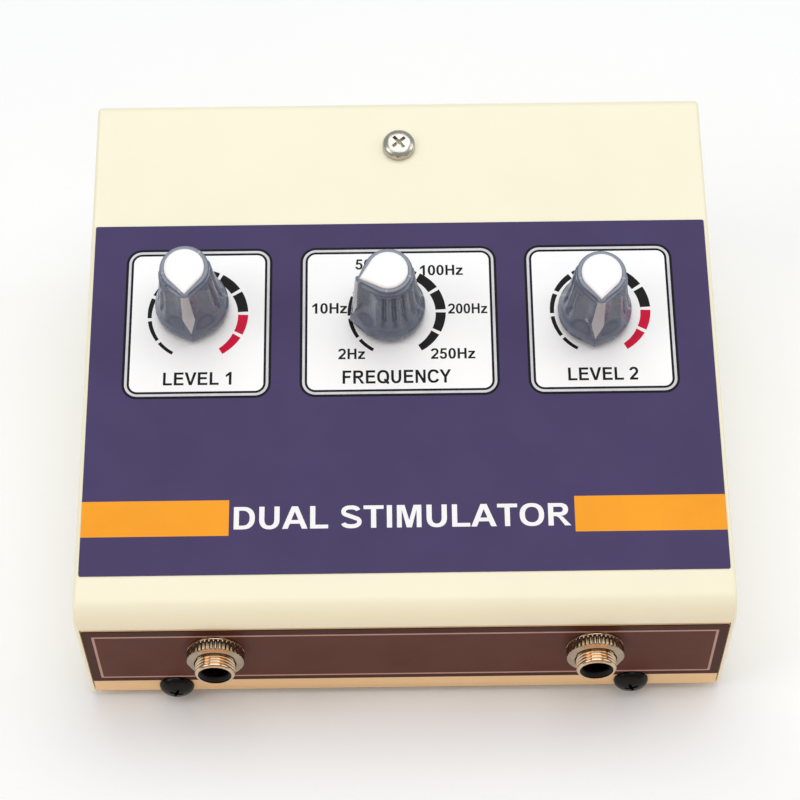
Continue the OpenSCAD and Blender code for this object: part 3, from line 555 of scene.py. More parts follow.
for name, a, b, ink in (("dial_frames_outer", OUTER_AT, SILVER_AT, "black_ink"),
                        ("dial_frames_silver", SILVER_AT, INNER_AT, "silver_ink"),
                        ("dial_frames_inner", INNER_AT, WHITE_AT, "black_ink")):
    printed(name, [frame_plate(panel_outline(x0, x1, a), panel_outline(x0, x1, b), Z0, Z1)
                   for x0, x1 in PANELS], ink)
printed("dial_panels", [prism(panel_outline(x0, x1, WHITE_AT), Z0, Z1) for x0, x1 in PANELS], "panel_white")
printed("orange_bars", [block(x0, BAR_LOW, Z0, x1, BAR_HIGH, Z1) for x0, x1 in BARS], "orange_ink")

# Dial marks: angles run clockwise from straight at the user.
MARKS = (30, 53, 84, 114, 145, 176, 207, 238, 269, 299, 330)
THICK = ((30, 0.85), (53, 0.9), (90, 1.05), (120, 1.3), (150, 1.7), (180, 2.1), (210, 2.5), (240, 2.7),
         (270, 2.6), (299, 2.35), (330, 1.8))
MARK_GAP = 2.1              # degrees left free at each end of a mark that has a neighbour
RED_FROM = 8                # marks of a level dial from this one on are red
RINGS = ((-51.7, 12.8, True), (-1.1, 12.5, False), (50.7, 12.8, True))  # middle, radius, level dial or not
RING_Y = up(25.5)


def mark(cx, outer, a0, a1, steps=12):
    """Outline of a dial mark from angle a0 to angle a1."""
    angles = [a0 + (a1 - a0) * k / steps for k in range(steps + 1)]
    edge = [(a, outer) for a in angles] + [(a, outer - between(a, THICK)) for a in angles[::-1]]
    return [(cx - r * math.sin(math.radians(a)), RING_Y - r * math.cos(math.radians(a))) for a, r in edge]


dark, red = [], []
for cx, outer, is_level in RINGS:
    for k, (a0, a1) in enumerate(zip(MARKS, MARKS[1:])):
        start = a0 + (MARK_GAP if k else 0)
        end = a1 - (MARK_GAP if k < len(MARKS) - 2 else 0)
        piece = prism(mark(cx, outer, start, end), Z1, Z1 + PRINT)
        (red if is_level and k >= RED_FROM else dark).append(piece)
printed("dial_marks", dark, "black_ink")
printed("dial_marks_red", red, "red_ink")


# ---------------------------------------------------------------- lettering
STEM, BAR = 0.205, 0.165    # widths of upright and level strokes, where a capital is 1 high
SQUARE = 0.87               # power that squares an oval a little


def oval(cx, cy, rx, ry, a, b, n=18):
    """Points of a slightly square oval from angle a to angle b."""
    out = []
    for k in range(n + 1):
        t = math.radians(a + (b - a) * k / n)
        c, s = math.cos(t), math.sin(t)
        out.append((cx + rx * math.copysign(abs(c) ** SQUARE, c),
                    cy + ry * math.copysign(abs(s) ** SQUARE, s)))
    return out


def bent_stroke(path, width):
    """Outline of a line of even width along a path."""
    left, right = [], []
    for k, (x, y) in enumerate(path):
        (xa, ya), (xb, yb) = path[max(k - 1, 0)], path[min(k + 1, len(path) - 1)]
        d = math.hypot(xb - xa, yb - ya)
        nx, ny = -(yb - ya) / d * width / 2, (xb - xa) / d * width / 2
        left.append((x + nx, y + ny))
        right.append((x - nx, y - ny))
    return left + right[::-1]


def closed_oval(cx, rx, ry):
    return oval(cx, 0.5, rx, ry, 0, 360, 40)[:-1]


# Each letter: how far to the next one, then its outline and, if it has one, its hole.
LETTERS = {
    "A": (1.0, [[(0, 0), (0.38, 1), (0.62, 1), (1, 0), (0.78, 0), (0.695, 0.225), (0.305, 0.225), (0.22, 0)],
                [(0.5, 0.77), (0.36, 0.39), (0.64, 0.39)]]),
    "C": (1.0, [oval(0.535, 0.5, 0.475, 0.512, 28, 332, 36) + oval(0.535, 0.5, 0.27, 0.345, 332, 28, 36)]),
    "D": (1.0, [[(0.1, 0), (0.1, 1)] + oval(0.47, 0.5, 0.46, 0.5, 90, -90),
                [(0.1 + STEM, BAR), (0.1 + STEM, 1 - BAR)] + oval(0.45, 0.5, 0.275, 0.5 - BAR, 90, -90)]),
    "E": (0.93, [[(0.1, 0), (0.1, 1), (0.84, 1), (0.84, 1 - BAR), (0.1 + STEM, 1 - BAR), (0.1 + STEM, 0.615),
                  (0.8, 0.615), (0.8, 0.615 - BAR), (0.1 + STEM, 0.615 - BAR), (0.1 + STEM, BAR),
                  (0.86, BAR), (0.86, 0)]]),
    "F": (0.85, [[(0.1, 0), (0.1, 1), (0.79, 1), (0.79, 1 - BAR), (0.1 + STEM, 1 - BAR),
                  (0.1 + STEM, 0.595), (0.72, 0.595), (0.72, 0.595 - BAR), (0.1 + STEM, 0.595 - BAR),
                  (0.1 + STEM, 0)]]),
    "H": (1.0, [[(0.1, 0), (0.1, 1), (0.1 + STEM, 1), (0.1 + STEM, 0.6), (0.7, 0.6), (0.7, 1),
                 (0.7 + STEM, 1), (0.7 + STEM, 0), (0.7, 0), (0.7, 0.6 - BAR), (0.1 + STEM, 0.6 - BAR),
                 (0.1 + STEM, 0)]]),
    "I": (0.39, [[(0.095, 0), (0.095, 1), (0.095 + STEM, 1), (0.095 + STEM, 0)]]),
    "L": (0.85, [[(0.1, 0), (0.1, 1), (0.1 + STEM, 1), (0.1 + STEM, BAR), (0.81, BAR), (0.81, 0)]]),
    "M": (1.165, [[(0.1, 0), (0.1, 1), (0.405, 1), (0.583, 0.32), (0.76, 1), (1.065, 1), (1.065, 0),
                   (0.875, 0), (0.875, 0.79), (0.685, 0), (0.48, 0), (0.29, 0.79), (0.29, 0)]]),
    "N": (1.0, [[(0.1, 0), (0.1, 1), (0.3, 1), (0.71, 0.34), (0.71, 1), (0.9, 1), (0.9, 0), (0.7, 0),
                 (0.29, 0.66), (0.29, 0)]]),
    "O": (1.08, [closed_oval(0.54, 0.48, 0.512), closed_oval(0.54, 0.275, 0.345)]),
    "Q": (1.08, [oval(0.54, 0.5, 0.48, 0.512, -38, 294, 36) + [(0.93, -0.08), (1.04, 0.055)],
                 oval(0.54, 0.5, 0.275, 0.345, -32, 298, 30) + [(0.575, 0.235), (0.665, 0.365)]]),
    "R": (1.0, [[(0.1, 0), (0.1, 1)] + oval(0.56, 0.715, 0.33, 0.285, 90, -90)
                + [(0.66, 0.4), (0.99, 0), (0.745, 0), (0.52, 0.345), (0.42, 0.415), (0.1 + STEM, 0.415),
                   (0.1 + STEM, 0)],
                [(0.1 + STEM, 0.59), (0.1 + STEM, 1 - BAR)] + oval(0.54, 0.7125, 0.145, 0.1225, 90, -90)]),
    "S": (0.93, [bent_stroke(oval(0.465, 0.735, 0.29, 0.187, 14, 215)
                             + oval(0.475, 0.277, 0.32, 0.198, 35, -166), 0.18)]),
    "T": (0.85, [[(0.322, 0), (0.322, 1 - BAR), (0.03, 1 - BAR), (0.03, 1), (0.82, 1), (0.82, 1 - BAR),
                  (0.322 + STEM, 1 - BAR), (0.322 + STEM, 0)]]),
    "U": (1.0, [[(0.1, 1), (0.1 + STEM, 1)] + oval(0.5, 0.42, 0.195, 0.268, 180, 360) + [(0.695, 1), (0.9, 1)]
                + oval(0.5, 0.42, 0.4, 0.432, 0, -180)]),
    "V": (0.93, [[(0, 1), (0.22, 1), (0.468, 0.25), (0.71, 1), (0.93, 1), (0.575, 0), (0.355, 0)]]),
    "Y": (0.93, [[(0, 1), (0.235, 1), (0.467, 0.61), (0.7, 1), (0.93, 1), (0.57, 0.43), (0.57, 0), (0.365, 0),
                  (0.365, 0.43)]]),
    "z": (0.7, [[(0.03, 0), (0.03, 0.14), (0.385, 0.575), (0.06, 0.575), (0.06, 0.725), (0.66, 0.725),
                 (0.66, 0.6), (0.29, 0.15), (0.68, 0.15), (0.68, 0)]]),
    "0": (0.776, [closed_oval(0.385, 0.335, 0.508), closed_oval(0.385, 0.13, 0.35)]),
    "1": (0.776, [[(0.36, 0), (0.36, 0.735), (0.11, 0.59), (0.11, 0.765), (0.405, 1), (0.565, 1),
                   (0.565, 0)]]),
    "2": (0.776, [oval(0.375, 0.69, 0.345, 0.318, 172, -30)
                  + [(0.335, BAR), (0.69, BAR), (0.69, 0), (0.035, 0), (0.06, 0.14)]
                  + oval(0.375, 0.69, 0.15, 0.155, -30, 168)]),
    "5": (0.776, [[(0.165, 1), (0.67, 1), (0.67, 1 - BAR), (0.315, 1 - BAR), (0.29, 0.66)]
                  + oval(0.365, 0.325, 0.335, 0.34, 104, -170) + oval(0.365, 0.325, 0.14, 0.185, -168, 135)
                  + [(0.08, 0.485)]]),
    " ": (0.39, []),
}


def letter_solid(loops, z0, z1):
    """Flat solid between two heights, from an outline and its holes."""
    flat = [p for loop in loops for p in loop]
    n = len(flat)
    tris = tessellate_polygon([[Vector((x, y, 0)) for x, y in loop] for loop in loops])
    verts = [(x, y, z) for z in (z0, z1) for x, y in flat]
    faces = [(a, b, c) for a, b, c in tris] + [(c + n, b + n, a + n) for a, b, c in tris]
    start = 0
    for loop in loops:
        m = len(loop)
        faces += [(start + k, start + (k + 1) % m, start + (k + 1) % m + n, start + k + n) for k in range(m)]
        start += m
    return verts, faces


def words(text, x0, x1, y_mid, height, z):
    """A line of print that fills x0 to x1, with capitals of this height about y_mid."""
    inked, x = [], 0.0
    for ch in text:
        step, loops = LETTERS[ch]
        if loops:
            inked.append([[(x + px, py) for px, py in loop] for loop in loops])
        x += step
    xs = [px for loops in inked for loop in loops for px, py in loop]
    left = min(xs)
    scale = (x1 - x0) / (max(xs) - left)
    placed = [[[(x0 + (px - left) * scale, y_mid + (py - 0.5) * height) for px, py in loop]
               for loop in loops] for loops in inked]
    return join_parts([letter_solid(loops, z, z + PRINT) for loops in placed])


printed("title_print", [words("DUAL STIMULATOR", -41.5, 40.8, up(80.6), 5.8, Z0)], "white_ink")
# Words, their left and right end, how far their middle is from the label's back edge, and their height.
CAPTIONS = (("LEVEL 1", -60.0, -42.8, 43.3, 3.5), ("LEVEL 2", 41.8, 59.4, 43.3, 3.5),
            ("FREQUENCY", -14.9, 12.4, 43.4, 3.6), ("10Hz", -22.6, -13.7, 24.2, 2.9),
            ("2Hz", -16.0, -9.2, 37.0, 2.9), ("50Hz", -11.6, -2.6, 11.8, 2.9),
            ("100Hz", 5.0, 16.0, 13.7, 2.9), ("200Hz", 12.0, 22.0, 24.7, 2.8),
            ("250Hz", 7.4, 18.6, 37.2, 2.9))
printed("dial_captions", [words(text, x0, x1, up(back), height, Z1)
                          for text, x0, x1, back, height in CAPTIONS], "black_ink")

# Front label: a brown sheet with a darker edge and a thin pale outline.
fx0, fx1, fz0, fz1 = front_lo.x, front_hi.x, front_lo.z, front_hi.z
jack_at = []
for node in ("jack_sleeve_1", "jack_sleeve_2"):
    lo, hi = box_mm(node)
    jack_at.append(((lo.x + hi.x) / 2, (lo.z + hi.z) / 2))
lip_lo, lip_hi = box_mm("lip_screws")
lip_z = (lip_lo.z + lip_hi.z) / 2
lip_r = (lip_hi.z - lip_lo.z) / 2
LIP_X = (lip_lo.x + lip_r, lip_hi.x - lip_r)
JACK_HOLE, LIP_HOLE, HOLE_SIDES = 5.1, 4.5, 64
LINE_IN, LINE_UP, LINE_DOWN, LINE_W = 2.2, 1.7, 2.3, 0.62   # the pale outline's insets and width


def front_outline(inset, r):
    """The pale outline's path, moved inward by inset."""
    return round_box(fx0 + LINE_IN + inset, fz0 + LINE_UP + inset, fx1 - LINE_IN - inset,
                     fz1 - LINE_DOWN - inset, r, 3)


def jack_holes():
    return [drill(JACK_HOLE, HOLE_REACH, front_at(x, z), HOLE_SIDES) for x, z in jack_at]


front_label = make("front_label_sheet", *prism(round_box(fx0, fz0, fx1, fz1, 0.4, 3), 0, LABEL_T),
                   place=FRONT, mat=M["brown_edge"], slot="brown_vinyl", replaces=["front_label"])
cut(front_label, jack_holes() + [drill(LIP_HOLE, HOLE_REACH, front_at(x, lip_z), HOLE_SIDES) for x in LIP_X])
line_out, line_in = front_outline(0, 0.3), front_outline(LINE_W, 0.2)
make("front_label_line", *frame_plate(line_out, line_in, Z0, Z1), place=FRONT, mat=M["pale_line"],
     slot="brown_vinyl")
middle = make("front_label_middle", *prism(line_in, Z0, Z1), place=FRONT, mat=M["brown"], slot="brown_vinyl")
cut(middle, jack_holes())

# ---------------------------------------------------------------- knobs
KNOB_GAP = 1.6              # between the label and the knob's foot
KNOB_TOP = 21.5
# (height, radius) of the round grip and of its point, and (height, width) of the rib on the point.
PROFILE = ((0.0, 9.05), (0.3, 9.35), (2.0, 9.32), (3.2, 8.95), (4.6, 8.45), (6.5, 8.05), (9.0, 7.7),
           (13.0, 7.15), (17.9, 6.75), (18.5, 6.62), (19.0, 6.28), (19.3, 6.16), (21.0, 6.12),
           (21.3, 6.04), (21.5, 5.8))
RIDGE = ((0.0, 10.05), (0.3, 10.38), (1.5, 10.3), (2.6, 9.95), (3.3, 9.6), (4.4, 9.35), (18.5, 8.4),
         (19.3, 8.3), (21.0, 8.2), (21.3, 8.1), (21.5, 7.85))
RIB_W = ((3.2, 0.05), (5.0, 0.8), (7.0, 1.8), (9.0, 2.8), (10.2, 3.2), (11.5, 3.1), (14.0, 2.7),
         (18.7, 2.3), (21.5, 2.0))
SKIRT_TOP, RIM_FROM = 2.6, 19.4     # plain below the first height and above the second one
# Where the rib, the scoops beside it and the flutes start and end: (height, length of the fade).
RIB_START, RIB_END = (2.9, 0.8), (21.6, 0.4)
SCOOP_START, SCOOP_FADE, SCOOP_DEEP = (3.6, 3.4), 0.6, 1.3
FLUTE_START, FLUTE_END, FLUTE_DEEP = (5.2, 3.4), (18.85, 0.45), 1.0
RIB_DOME = 0.12             # how far the rib's face falls back at its edges
# Powers that push a scoop's deepest line toward the rib, flatten its floor, and narrow the flutes.
SCOOP_LEAN, SCOOP_FLAT, FLUTE_NARROW = 0.8, 0.65, 1.9
# Angles from the pointer, in degrees: end of the scoops, from one flute to the next, and the first one.
SCOOP_END = 50.0
PERIOD = 360 / 17
FIRST_RIDGE = 42.35
SCOOP_TOP, TOP_FALL, FALL_FROM, FALL_OVER = 19.0, 2.6, 38, 12    # the scoop's top falls away past an angle
RIB_EDGE = 0.8              # from the rib's edge to the first column beside it
SCOOP_COLUMNS, FLUTE_COLUMNS, CAP_COLUMNS = 16, 110, 120
# Hollow foot, shaft bore and the recess that the cap lies in; (round radius, point radius) of that.
FOOT_R, FOOT_DEEP, BORE_R, BORE_TOP = 7.3, 2.2, 3.05, 13.6
RECESS_LIP, RECESS, RECESS_DEEP, LIP_DEEP = (5.08, 7.42), (5.02, 7.36), 0.8, 0.1
CAP_ROUND = (4.95, 7.3)
GRIP_HEIGHTS = (0.0, 0.12, 0.3, 1.0, 1.7, 2.2, 2.6, 2.9, 3.2, 3.6, 4.0, 4.5, 5.0, 5.6, 6.2, 6.8, 7.4, 8.0,
                8.6, 9.2, 9.9, 10.6, 11.4, 12.2, 13.0, 13.8, 14.6, 15.4, 16.2, 16.8, 17.3, 17.7, 18.0,
                18.2, 18.35, 18.5, 18.65, 18.8, 18.95, 19.1, 19.3, 19.9, 20.5, 21.0, 21.16, 21.3, 21.42,
                KNOB_TOP)


def fade_in(z, start):
    return smooth((z - start[0]) / start[1])


def fade_out(z, end):
    return smooth((end[0] - z) / end[1])


def drop(a, r, tip):
    """Radius of a round with a point at angle 0, at a degrees from it."""
    al = math.acos(min(1.0, r / tip))
    t = math.radians(a)
    return r / math.cos(al - t) if t < al else r


def rib_half(z):
    """Half the rib's width, in degrees."""
    return math.degrees(between(z, RIB_W) / 2 / between(z, RIDGE))


def knob_radius(a, z, on_rib):
    r, tip = between(z, PROFILE), between(z, RIDGE)
    base = drop(a, r, tip)
    if z < SKIRT_TOP:
        return base
    half = rib_half(z)
    if on_rib:
        face = tip - RIB_DOME * (a / max(half, 0.1)) ** 2
        return base + (face - base) * fade_out(z, RIB_END) * fade_in(z, RIB_START)
    if z > RIM_FROM:
        return base
    if a < SCOOP_END:
        u = max(0.0, (a - half) / (SCOOP_END - half))
        top = SCOOP_TOP - TOP_FALL * max(0.0, (a - FALL_FROM) / FALL_OVER) ** 2
        depth = SCOOP_DEEP * math.sin(math.pi * u ** SCOOP_LEAN) ** SCOOP_FLAT
        return base - depth * fade_out(z, (top, SCOOP_FADE)) * fade_in(z, SCOOP_START)
    phase = (a - FIRST_RIDGE) / PERIOD
    wave = 0 if phase < 0.5 else (0.5 + 0.5 * math.cos(2 * math.pi * phase)) ** FLUTE_NARROW
    return base - FLUTE_DEEP * wave * fade_out(z, FLUTE_END) * fade_in(z, FLUTE_START)


def knob_columns(z):
    """(angle from the pointer, side, on the rib or not), right round."""
    half = max(rib_half(z), 0.12)
    edge = half + RIB_EDGE
    one = [(half / 2, True), (half, True), (edge, False)]
    one += [(edge + (SCOOP_END - half - RIB_EDGE) * k / SCOOP_COLUMNS, False)
            for k in range(1, SCOOP_COLUMNS + 1)]
    one += [(SCOOP_END + (180 - SCOOP_END) * k / FLUTE_COLUMNS, False) for k in range(1, FLUTE_COLUMNS)]
    return ([(0.0, 1, True)] + [(a, 1, rib) for a, rib in one] + [(180.0, 1, False)]
            + [(a, -1, rib) for a, rib in one[::-1]])


def polar(r, a, z):
    """Point at radius r, a degrees round from the pointer."""
    t = math.radians(a)
    return (r * math.sin(t), -r * math.cos(t), z)


def knob_row(z, radius=None):
    """The grip's points at height z, or those of another round given by radius(angle)."""
    return [polar(radius(a) if radius else knob_radius(a, z, rib), a * side, z)
            for a, side, rib in knob_columns(z)]


def knob_mesh():
    rows = [[(0, 0, BORE_TOP)], knob_row(BORE_TOP, lambda a: BORE_R), knob_row(FOOT_DEEP, lambda a: BORE_R),
            knob_row(FOOT_DEEP, lambda a: FOOT_R), knob_row(0.0, lambda a: FOOT_R)]
    rows += [knob_row(z) for z in GRIP_HEIGHTS]
    rows += [knob_row(KNOB_TOP, lambda a: drop(a, *RECESS_LIP)),
             knob_row(KNOB_TOP - LIP_DEEP, lambda a: drop(a, *RECESS)),
             knob_row(KNOB_TOP - RECESS_DEEP, lambda a: drop(a, *RECESS)), [(0, 0, KNOB_TOP - RECESS_DEEP)]]
    return grid(rows)


def pointer_mesh():
    """The light face of the pointer, a thin skin on the rib."""
    low, high, steps, out, sunk = 3.5, 21.15, 42, 0.05, 0.1
    rows = []
    for k in range(steps + 1):
        z = low + (high - low) * k / steps
        half = max(rib_half(z) * 0.97, 0.1)
        face = [(u * half, knob_radius(abs(u) * half, z, True)) for u in (-1, -0.5, 0, 0.5, 1)]
        rows.append([polar(r + out, a, z) for a, r in face] + [polar(r - sunk, a, z) for a, r in face[::-1]])
    return capped(rows)


def cap_mesh():
    low = KNOB_TOP - 0.78
    # (height above the cap's foot, share of its full size)
    steps = ((0, 1.0), (1.1, 1.0), (1.3, 0.985), (1.44, 0.95), (1.54, 0.88), (1.61, 0.72), (1.65, 0.45),
             (1.67, 0.2))
    turns = [360 * j / CAP_COLUMNS for j in range(CAP_COLUMNS)]
    rows = [[(0, 0, low)]]
    rows += [[polar(drop(min(a, 360 - a), *CAP_ROUND) * k, a, low + up_by) for a in turns]
             for up_by, k in steps]
    rows.append([(0, 0, low + 1.68)])
    return grid(rows)


knob_parts, pointer_parts, cap_parts = knob_mesh(), pointer_mesh(), cap_mesh()
# The rest angles are how far each pointer stands clockwise of straight at the user.
for joint, rest, tag, body in (("level_1_turn", -2, "level_1", "level_1_knob"),
                               ("frequency_turn", 73, "frequency", "frequency_knob"),
                               ("level_2_turn", 3, "level_2", "level_2_knob")):
    at = (control_at(joint) @ Matrix.Rotation(math.radians(-rest), 4, "Z")
          @ Matrix.Translation((0, 0, KNOB_GAP)))
    make(f"grip_{tag}", *knob_parts, place=at, mat=M["knob"], sharp=38, body=body, slot="knob_grey",
         replaces=[f"knob_{tag}"])
    make(f"pointer_{tag}", *pointer_parts, place=at, mat=M["pointer"], sharp=38, body=body, slot="knob_grey")
    make(f"disc_{tag}", *cap_parts, place=at, mat=M["cap"], sharp=38, body=body, slot="cap_white",
         replaces=[f"cap_{tag}"])


# ---------------------------------------------------------------- screws
CROSS_TAPER = 0.75          # size of a cross recess at its foot


def cross_cutter(half, width, z0, z1):
    """A cross-shaped wedge, narrower at its foot."""
    rows = []
    for s, z in ((CROSS_TAPER, z0), (1.0, z1)):
        h, w = half * s, width * s
        rows.append([(x, y, z) for x, y in ((h, w), (w, w), (w, h), (-w, h), (-w, w), (-h, w), (-h, -w),
                                            (-w, -w), (-w, -h), (w, -h), (w, -w), (h, -w))])
    return capped(rows)


def pan_head(r, h, shank_r, shank):
    """Cut line of a pan-head screw, its head above 0 and its threaded shank below."""
    pitch, deep, point = 0.5, 0.22, 0.4
    pts = [(0, -shank), (shank_r - 0.3, -shank), (shank_r, -shank + point)]
    z = -shank + point
    while z < -0.8:
        pts += [(shank_r, z), (shank_r - deep, z + pitch / 2)]
        z += pitch
    flat, wall = 0.42, 0.38     # shares of the head's radius and height before it rounds over
    pts += [(shank_r, -0.2), (shank_r, 0), (r - 0.15, 0), (r, 0.15), (r, h * wall)]
    for k in range(1, 11):
        t = math.pi / 2 * k / 10
        pts.append((r * (flat + (1 - flat) * math.cos(t)), h * (wall + (1 - wall) * math.sin(t))))
    pts += [(r * 0.2, h * 1.012), (0, h * 1.015)]
    return pts


def dome_head(r, h, shank_r, shank):
    """Cut line of a domed screw, its head above 0 and a plain shank below."""
    rim = 0.2
    pts = [(0, -shank), (shank_r, -shank), (shank_r, 0), (r - rim, 0), (r, rim)]
    for k in range(1, 14):
        t = math.pi / 2 * k / 14
        pts.append((r * math.cos(t), rim + (h - rim) * math.sin(t)))
    return pts + [(0, h)]


def cross_cut(screw, place, turn, *cross):
    """Sinks a cross recess, turned by this many degrees, into a screw's head."""
    at = place @ Matrix.Rotation(math.radians(turn), 4, "Z")
    cut(screw, [make("cross", *cross_cutter(*cross), place=at, body=None)], sharp=40)


top_screw = make("cover_screw_head", *lathe(pan_head(4.3, 2.45, 1.9, 9), 72), place=SCREW, mat=M["nickel"],
                 slot="nickel", replaces=["cover_screw"])
cross_cut(top_screw, SCREW, 40, 2.35, 0.5, 0.9, 3.4)

lip_parts = []
for side, x in zip((-1, 1), LIP_X):
    at = front_at(x, lip_z)
    ob = make("lip_screw", *lathe(dome_head(4.35, 2.7, 1.45, 6), 72), place=at, body=None)
    cross_cut(ob, at, 20 * side, 1.9, 0.42, 1.5, 3.2)
    lip_parts.append(([tuple(v.co * 1000) for v in ob.data.vertices],
                      [tuple(p.vertices) for p in ob.data.polygons]))
    bpy.data.objects.remove(ob)
make("front_screws", *join_parts(lip_parts), mat=M["black_steel"], sharp=40, slot="black_steel",
     replaces=["lip_screws"])

# ---------------------------------------------------------------- output jacks
JACK_OUT = FRONT_Y - box_mm("jack_sleeve_1")[0].y      # how far the sleeves stand out
SLEEVE_R, THREAD_DEEP, THREAD_PITCH, THREAD_FROM = 4.9, 0.34, 0.78, 1.2
NUT_FOOT, KNURL_DEEP, KNURLS = 0.95, 0.26, 40
# Cut line of the ring nut, from its bore's foot outward and up.
NUT = ((4.98, NUT_FOOT), (6.75, NUT_FOOT), (6.95, 1.05), (7.08, 1.3), (7.08, 1.6), (7.08, 2.0), (7.08, 2.6),
       (7.08, 3.2), (7.08, 3.5), (6.98, 3.62), (6.75, 3.8), (6.45, 4.02), (6.2, 4.18), (5.9, 4.25),
       (5.25, 4.25), (4.98, 4.05))
# (radius, depth below the sleeve's mouth) round the black ring inside it.
LINER = ((3.28, 1.52), (4.03, 1.48), (4.03, 0.45), (3.95, 0.4), (3.75, 0.55), (3.32, 1.1), (3.27, 1.4))
# The same round the sleeve's mouth, outside and then inside.
MOUTH = ((SLEEVE_R, 0.55), (SLEEVE_R - 0.12, 0.3), (SLEEVE_R - 0.4, 0.04), (SLEEVE_R - 0.5, 0), (4.2, 0),
         (4.08, 0.08), (4.05, 0.3), (4.05, 1.5), (3.3, 1.5))


def sleeve_profile():
    """Cut line of the chromed sleeve, with its thread in front of the panel."""
    r, root = SLEEVE_R, SLEEVE_R - THREAD_DEEP
    pts = [(3.25, -8), (r - 0.3, -8), (r, -7.7), (r, -2.4), (6.4, -2.4), (6.4, -1.2), (r, -1.2),
           (r, THREAD_FROM)]
    z = THREAD_FROM
    while z < JACK_OUT - 0.9:
        pts += [(r, z), (r, z + 0.08), (root, z + 0.36), (root, z + 0.42), (r, z + 0.7)]
        z += THREAD_PITCH
    return pts + [(r, JACK_OUT - deep) for r, deep in MOUTH]


def knurl(t, r, z):
    """Straight grooves round the ring nut's rim."""
    if r < 6.6 or not 0.3 < z - NUT_FOOT < 2.6:
        return r
    return r - KNURL_DEEP * (0.5 + 0.5 * math.cos(KNURLS * t)) ** 1.5


nuts = []
for x, z in jack_at:
    verts, faces = lathe(NUT, 480, closed=True, ripple=knurl)
    nuts.append(([tuple(front_at(x, z) @ Vector(p)) for p in verts], faces))
# The ring nuts take the darker, warm tinted metal: a painted reflection.
make("ring_nuts", *join_parts(nuts), mat=M["nut_chrome_painted_reflection"], sharp=32, slot="jack_chrome",
     replaces=["jack_nuts"])
for k, (x, z) in enumerate(jack_at, 1):
    make(f"sleeve_{k}", *lathe(sleeve_profile(), 96, closed=True), place=front_at(x, z), mat=M["chrome_painted_warm_reflection"],
         sharp=32, slot="jack_chrome", replaces=[f"jack_sleeve_{k}"])
    make(f"socket_ring_{k}", *lathe([(r, JACK_OUT - deep) for r, deep in LINER], 96, closed=True),
         place=front_at(x, z), mat=M["socket"], slot="black_plastic")

# ---------------------------------------------------------------- small edges on the CAD nodes that show
for name, width in (("front_panel", 0.12), ("chassis", 0.2), ("rear_panel", 0.2), ("rubber_feet", 0.35),
                    ("foot_screws", 0.12), ("board_screws", 0.1), ("mains_screws", 0.1),
                    ("switch_frame", 0.35), ("switch_rocker", 0.3), ("inlet_bush", 0.3),
                    ("jack_washers", 0.08), ("cover_clip", 0.1), ("control_nuts", 0.15)):
    soften(frame["nodes"][name], width, weld=True)

# ---------------------------------------------------------------- floor, light, camera
floor_mat = surface("studio_floor", (255, 255, 255), 0.8, vary=(6, 0.006), rough_vary=(10, 0.03),
                    bump=(200, 0.02, 0.0001))
FLOOR = 2500                # half the floor's width
floor = make("studio_floor", *grid([[(-FLOOR, y, 0), (FLOOR, y, 0)] for y in (-FLOOR, -800, 800, FLOOR)],
                                   loop=False), mat=floor_mat, body=None)

ROOM_LIGHT = 0.45
# The room is brown where y + BAND_STEEP * z + BAND_EDGE is 0 or less, and pale from BAND_FADE up.
BAND_EDGE, BAND_STEEP, BAND_FADE = 0.75, 1.9, 0.42
world = bpy.data.worlds.new("studio")
bpy.context.scene.world = world
world.use_nodes = True
sky = world.node_tree
bg = sky.nodes["Background"]
bg.inputs["Strength"].default_value = ROOM_LIGHT
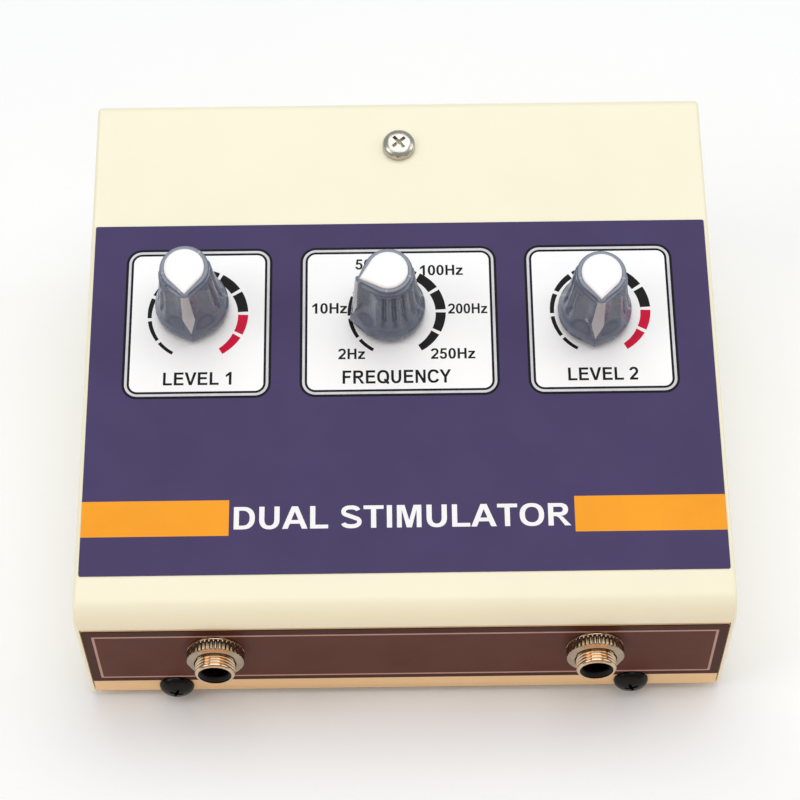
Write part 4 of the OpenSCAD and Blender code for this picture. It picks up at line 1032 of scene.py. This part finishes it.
# A pale room with a warm brown band low in front of the unit, which the metal and the front lip pick up.
away = sky.nodes.new("ShaderNodeTexCoord")
split = sky.nodes.new("ShaderNodeSeparateXYZ")
band = sky.nodes.new("ShaderNodeMath")
band.operation = "MULTIPLY_ADD"
band.inputs[1].default_value = BAND_STEEP
low = sky.nodes.new("ShaderNodeMath")
low.operation = "ADD"
low.inputs[1].default_value = BAND_EDGE
room = sky.nodes.new("ShaderNodeValToRGB")
room.color_ramp.elements[0].position = 0.0
room.color_ramp.elements[0].color = (0.16, 0.06, 0.02, 1)
room.color_ramp.elements[1].position = BAND_FADE
room.color_ramp.elements[1].color = (0.95, 0.97, 1.0, 1)
for source, target in ((away.outputs["Generated"], split.inputs[0]), (split.outputs["Z"], band.inputs[0]),
                       (split.outputs["Y"], band.inputs[2]), (band.outputs[0], low.inputs[0]),
                       (low.outputs[0], room.inputs[0]), (room.outputs[0], bg.inputs["Color"])):
    sky.links.new(source, target)


def area(name, at, look, size, power, color=(1, 1, 1)):
    """A soft light at one point (metres), aimed at another."""
    data = bpy.data.lights.new(name, "AREA")
    data.shape = "RECTANGLE"
    data.size, data.size_y = size
    data.energy = power
    data.color = color
    ob = bpy.data.objects.new(name, data)
    bpy.context.scene.collection.objects.link(ob)
    ob.location = at
    ob.rotation_mode = "QUATERNION"
    ob.rotation_quaternion = (Vector(look) - Vector(at)).to_track_quat("-Z", "Y")


area("soft_top", (0.02, 0.18, 1.1), (0, 0.02, 0.05), (1.1, 1.1), 6.35, (1, 1, 0.985))
area("soft_left", (-0.8, -0.25, 0.75), (0, 0, 0.04), (0.5, 0.5), 1.8)
area("soft_right", (0.9, 0.1, 0.6), (0, 0, 0.04), (0.5, 0.7), 1.6)
area("low_front", (0, -0.62, 0.1), (0, 0, 0.03), (0.9, 0.16), 0.6, (1, 0.5, 0.2))

cam_data = bpy.data.cameras.new("camera")
cam_data.lens = 92.13
cam_data.sensor_width = 36
cam_data.clip_start, cam_data.clip_end = 0.02, 20
cam = bpy.data.objects.new("camera", cam_data)
bpy.context.scene.collection.objects.link(cam)
cam.location = (-0.000963, -0.312096, 0.468679)
cam.rotation_mode = "QUATERNION"
cam.rotation_quaternion = (0.952527, 0.304389, 0.001523, -0.006102)
bpy.context.scene.camera = cam
bpy.context.scene.view_settings.view_transform = "Standard"
bpy.context.scene.view_settings.look = "None"

bpy.context.view_layer.update()
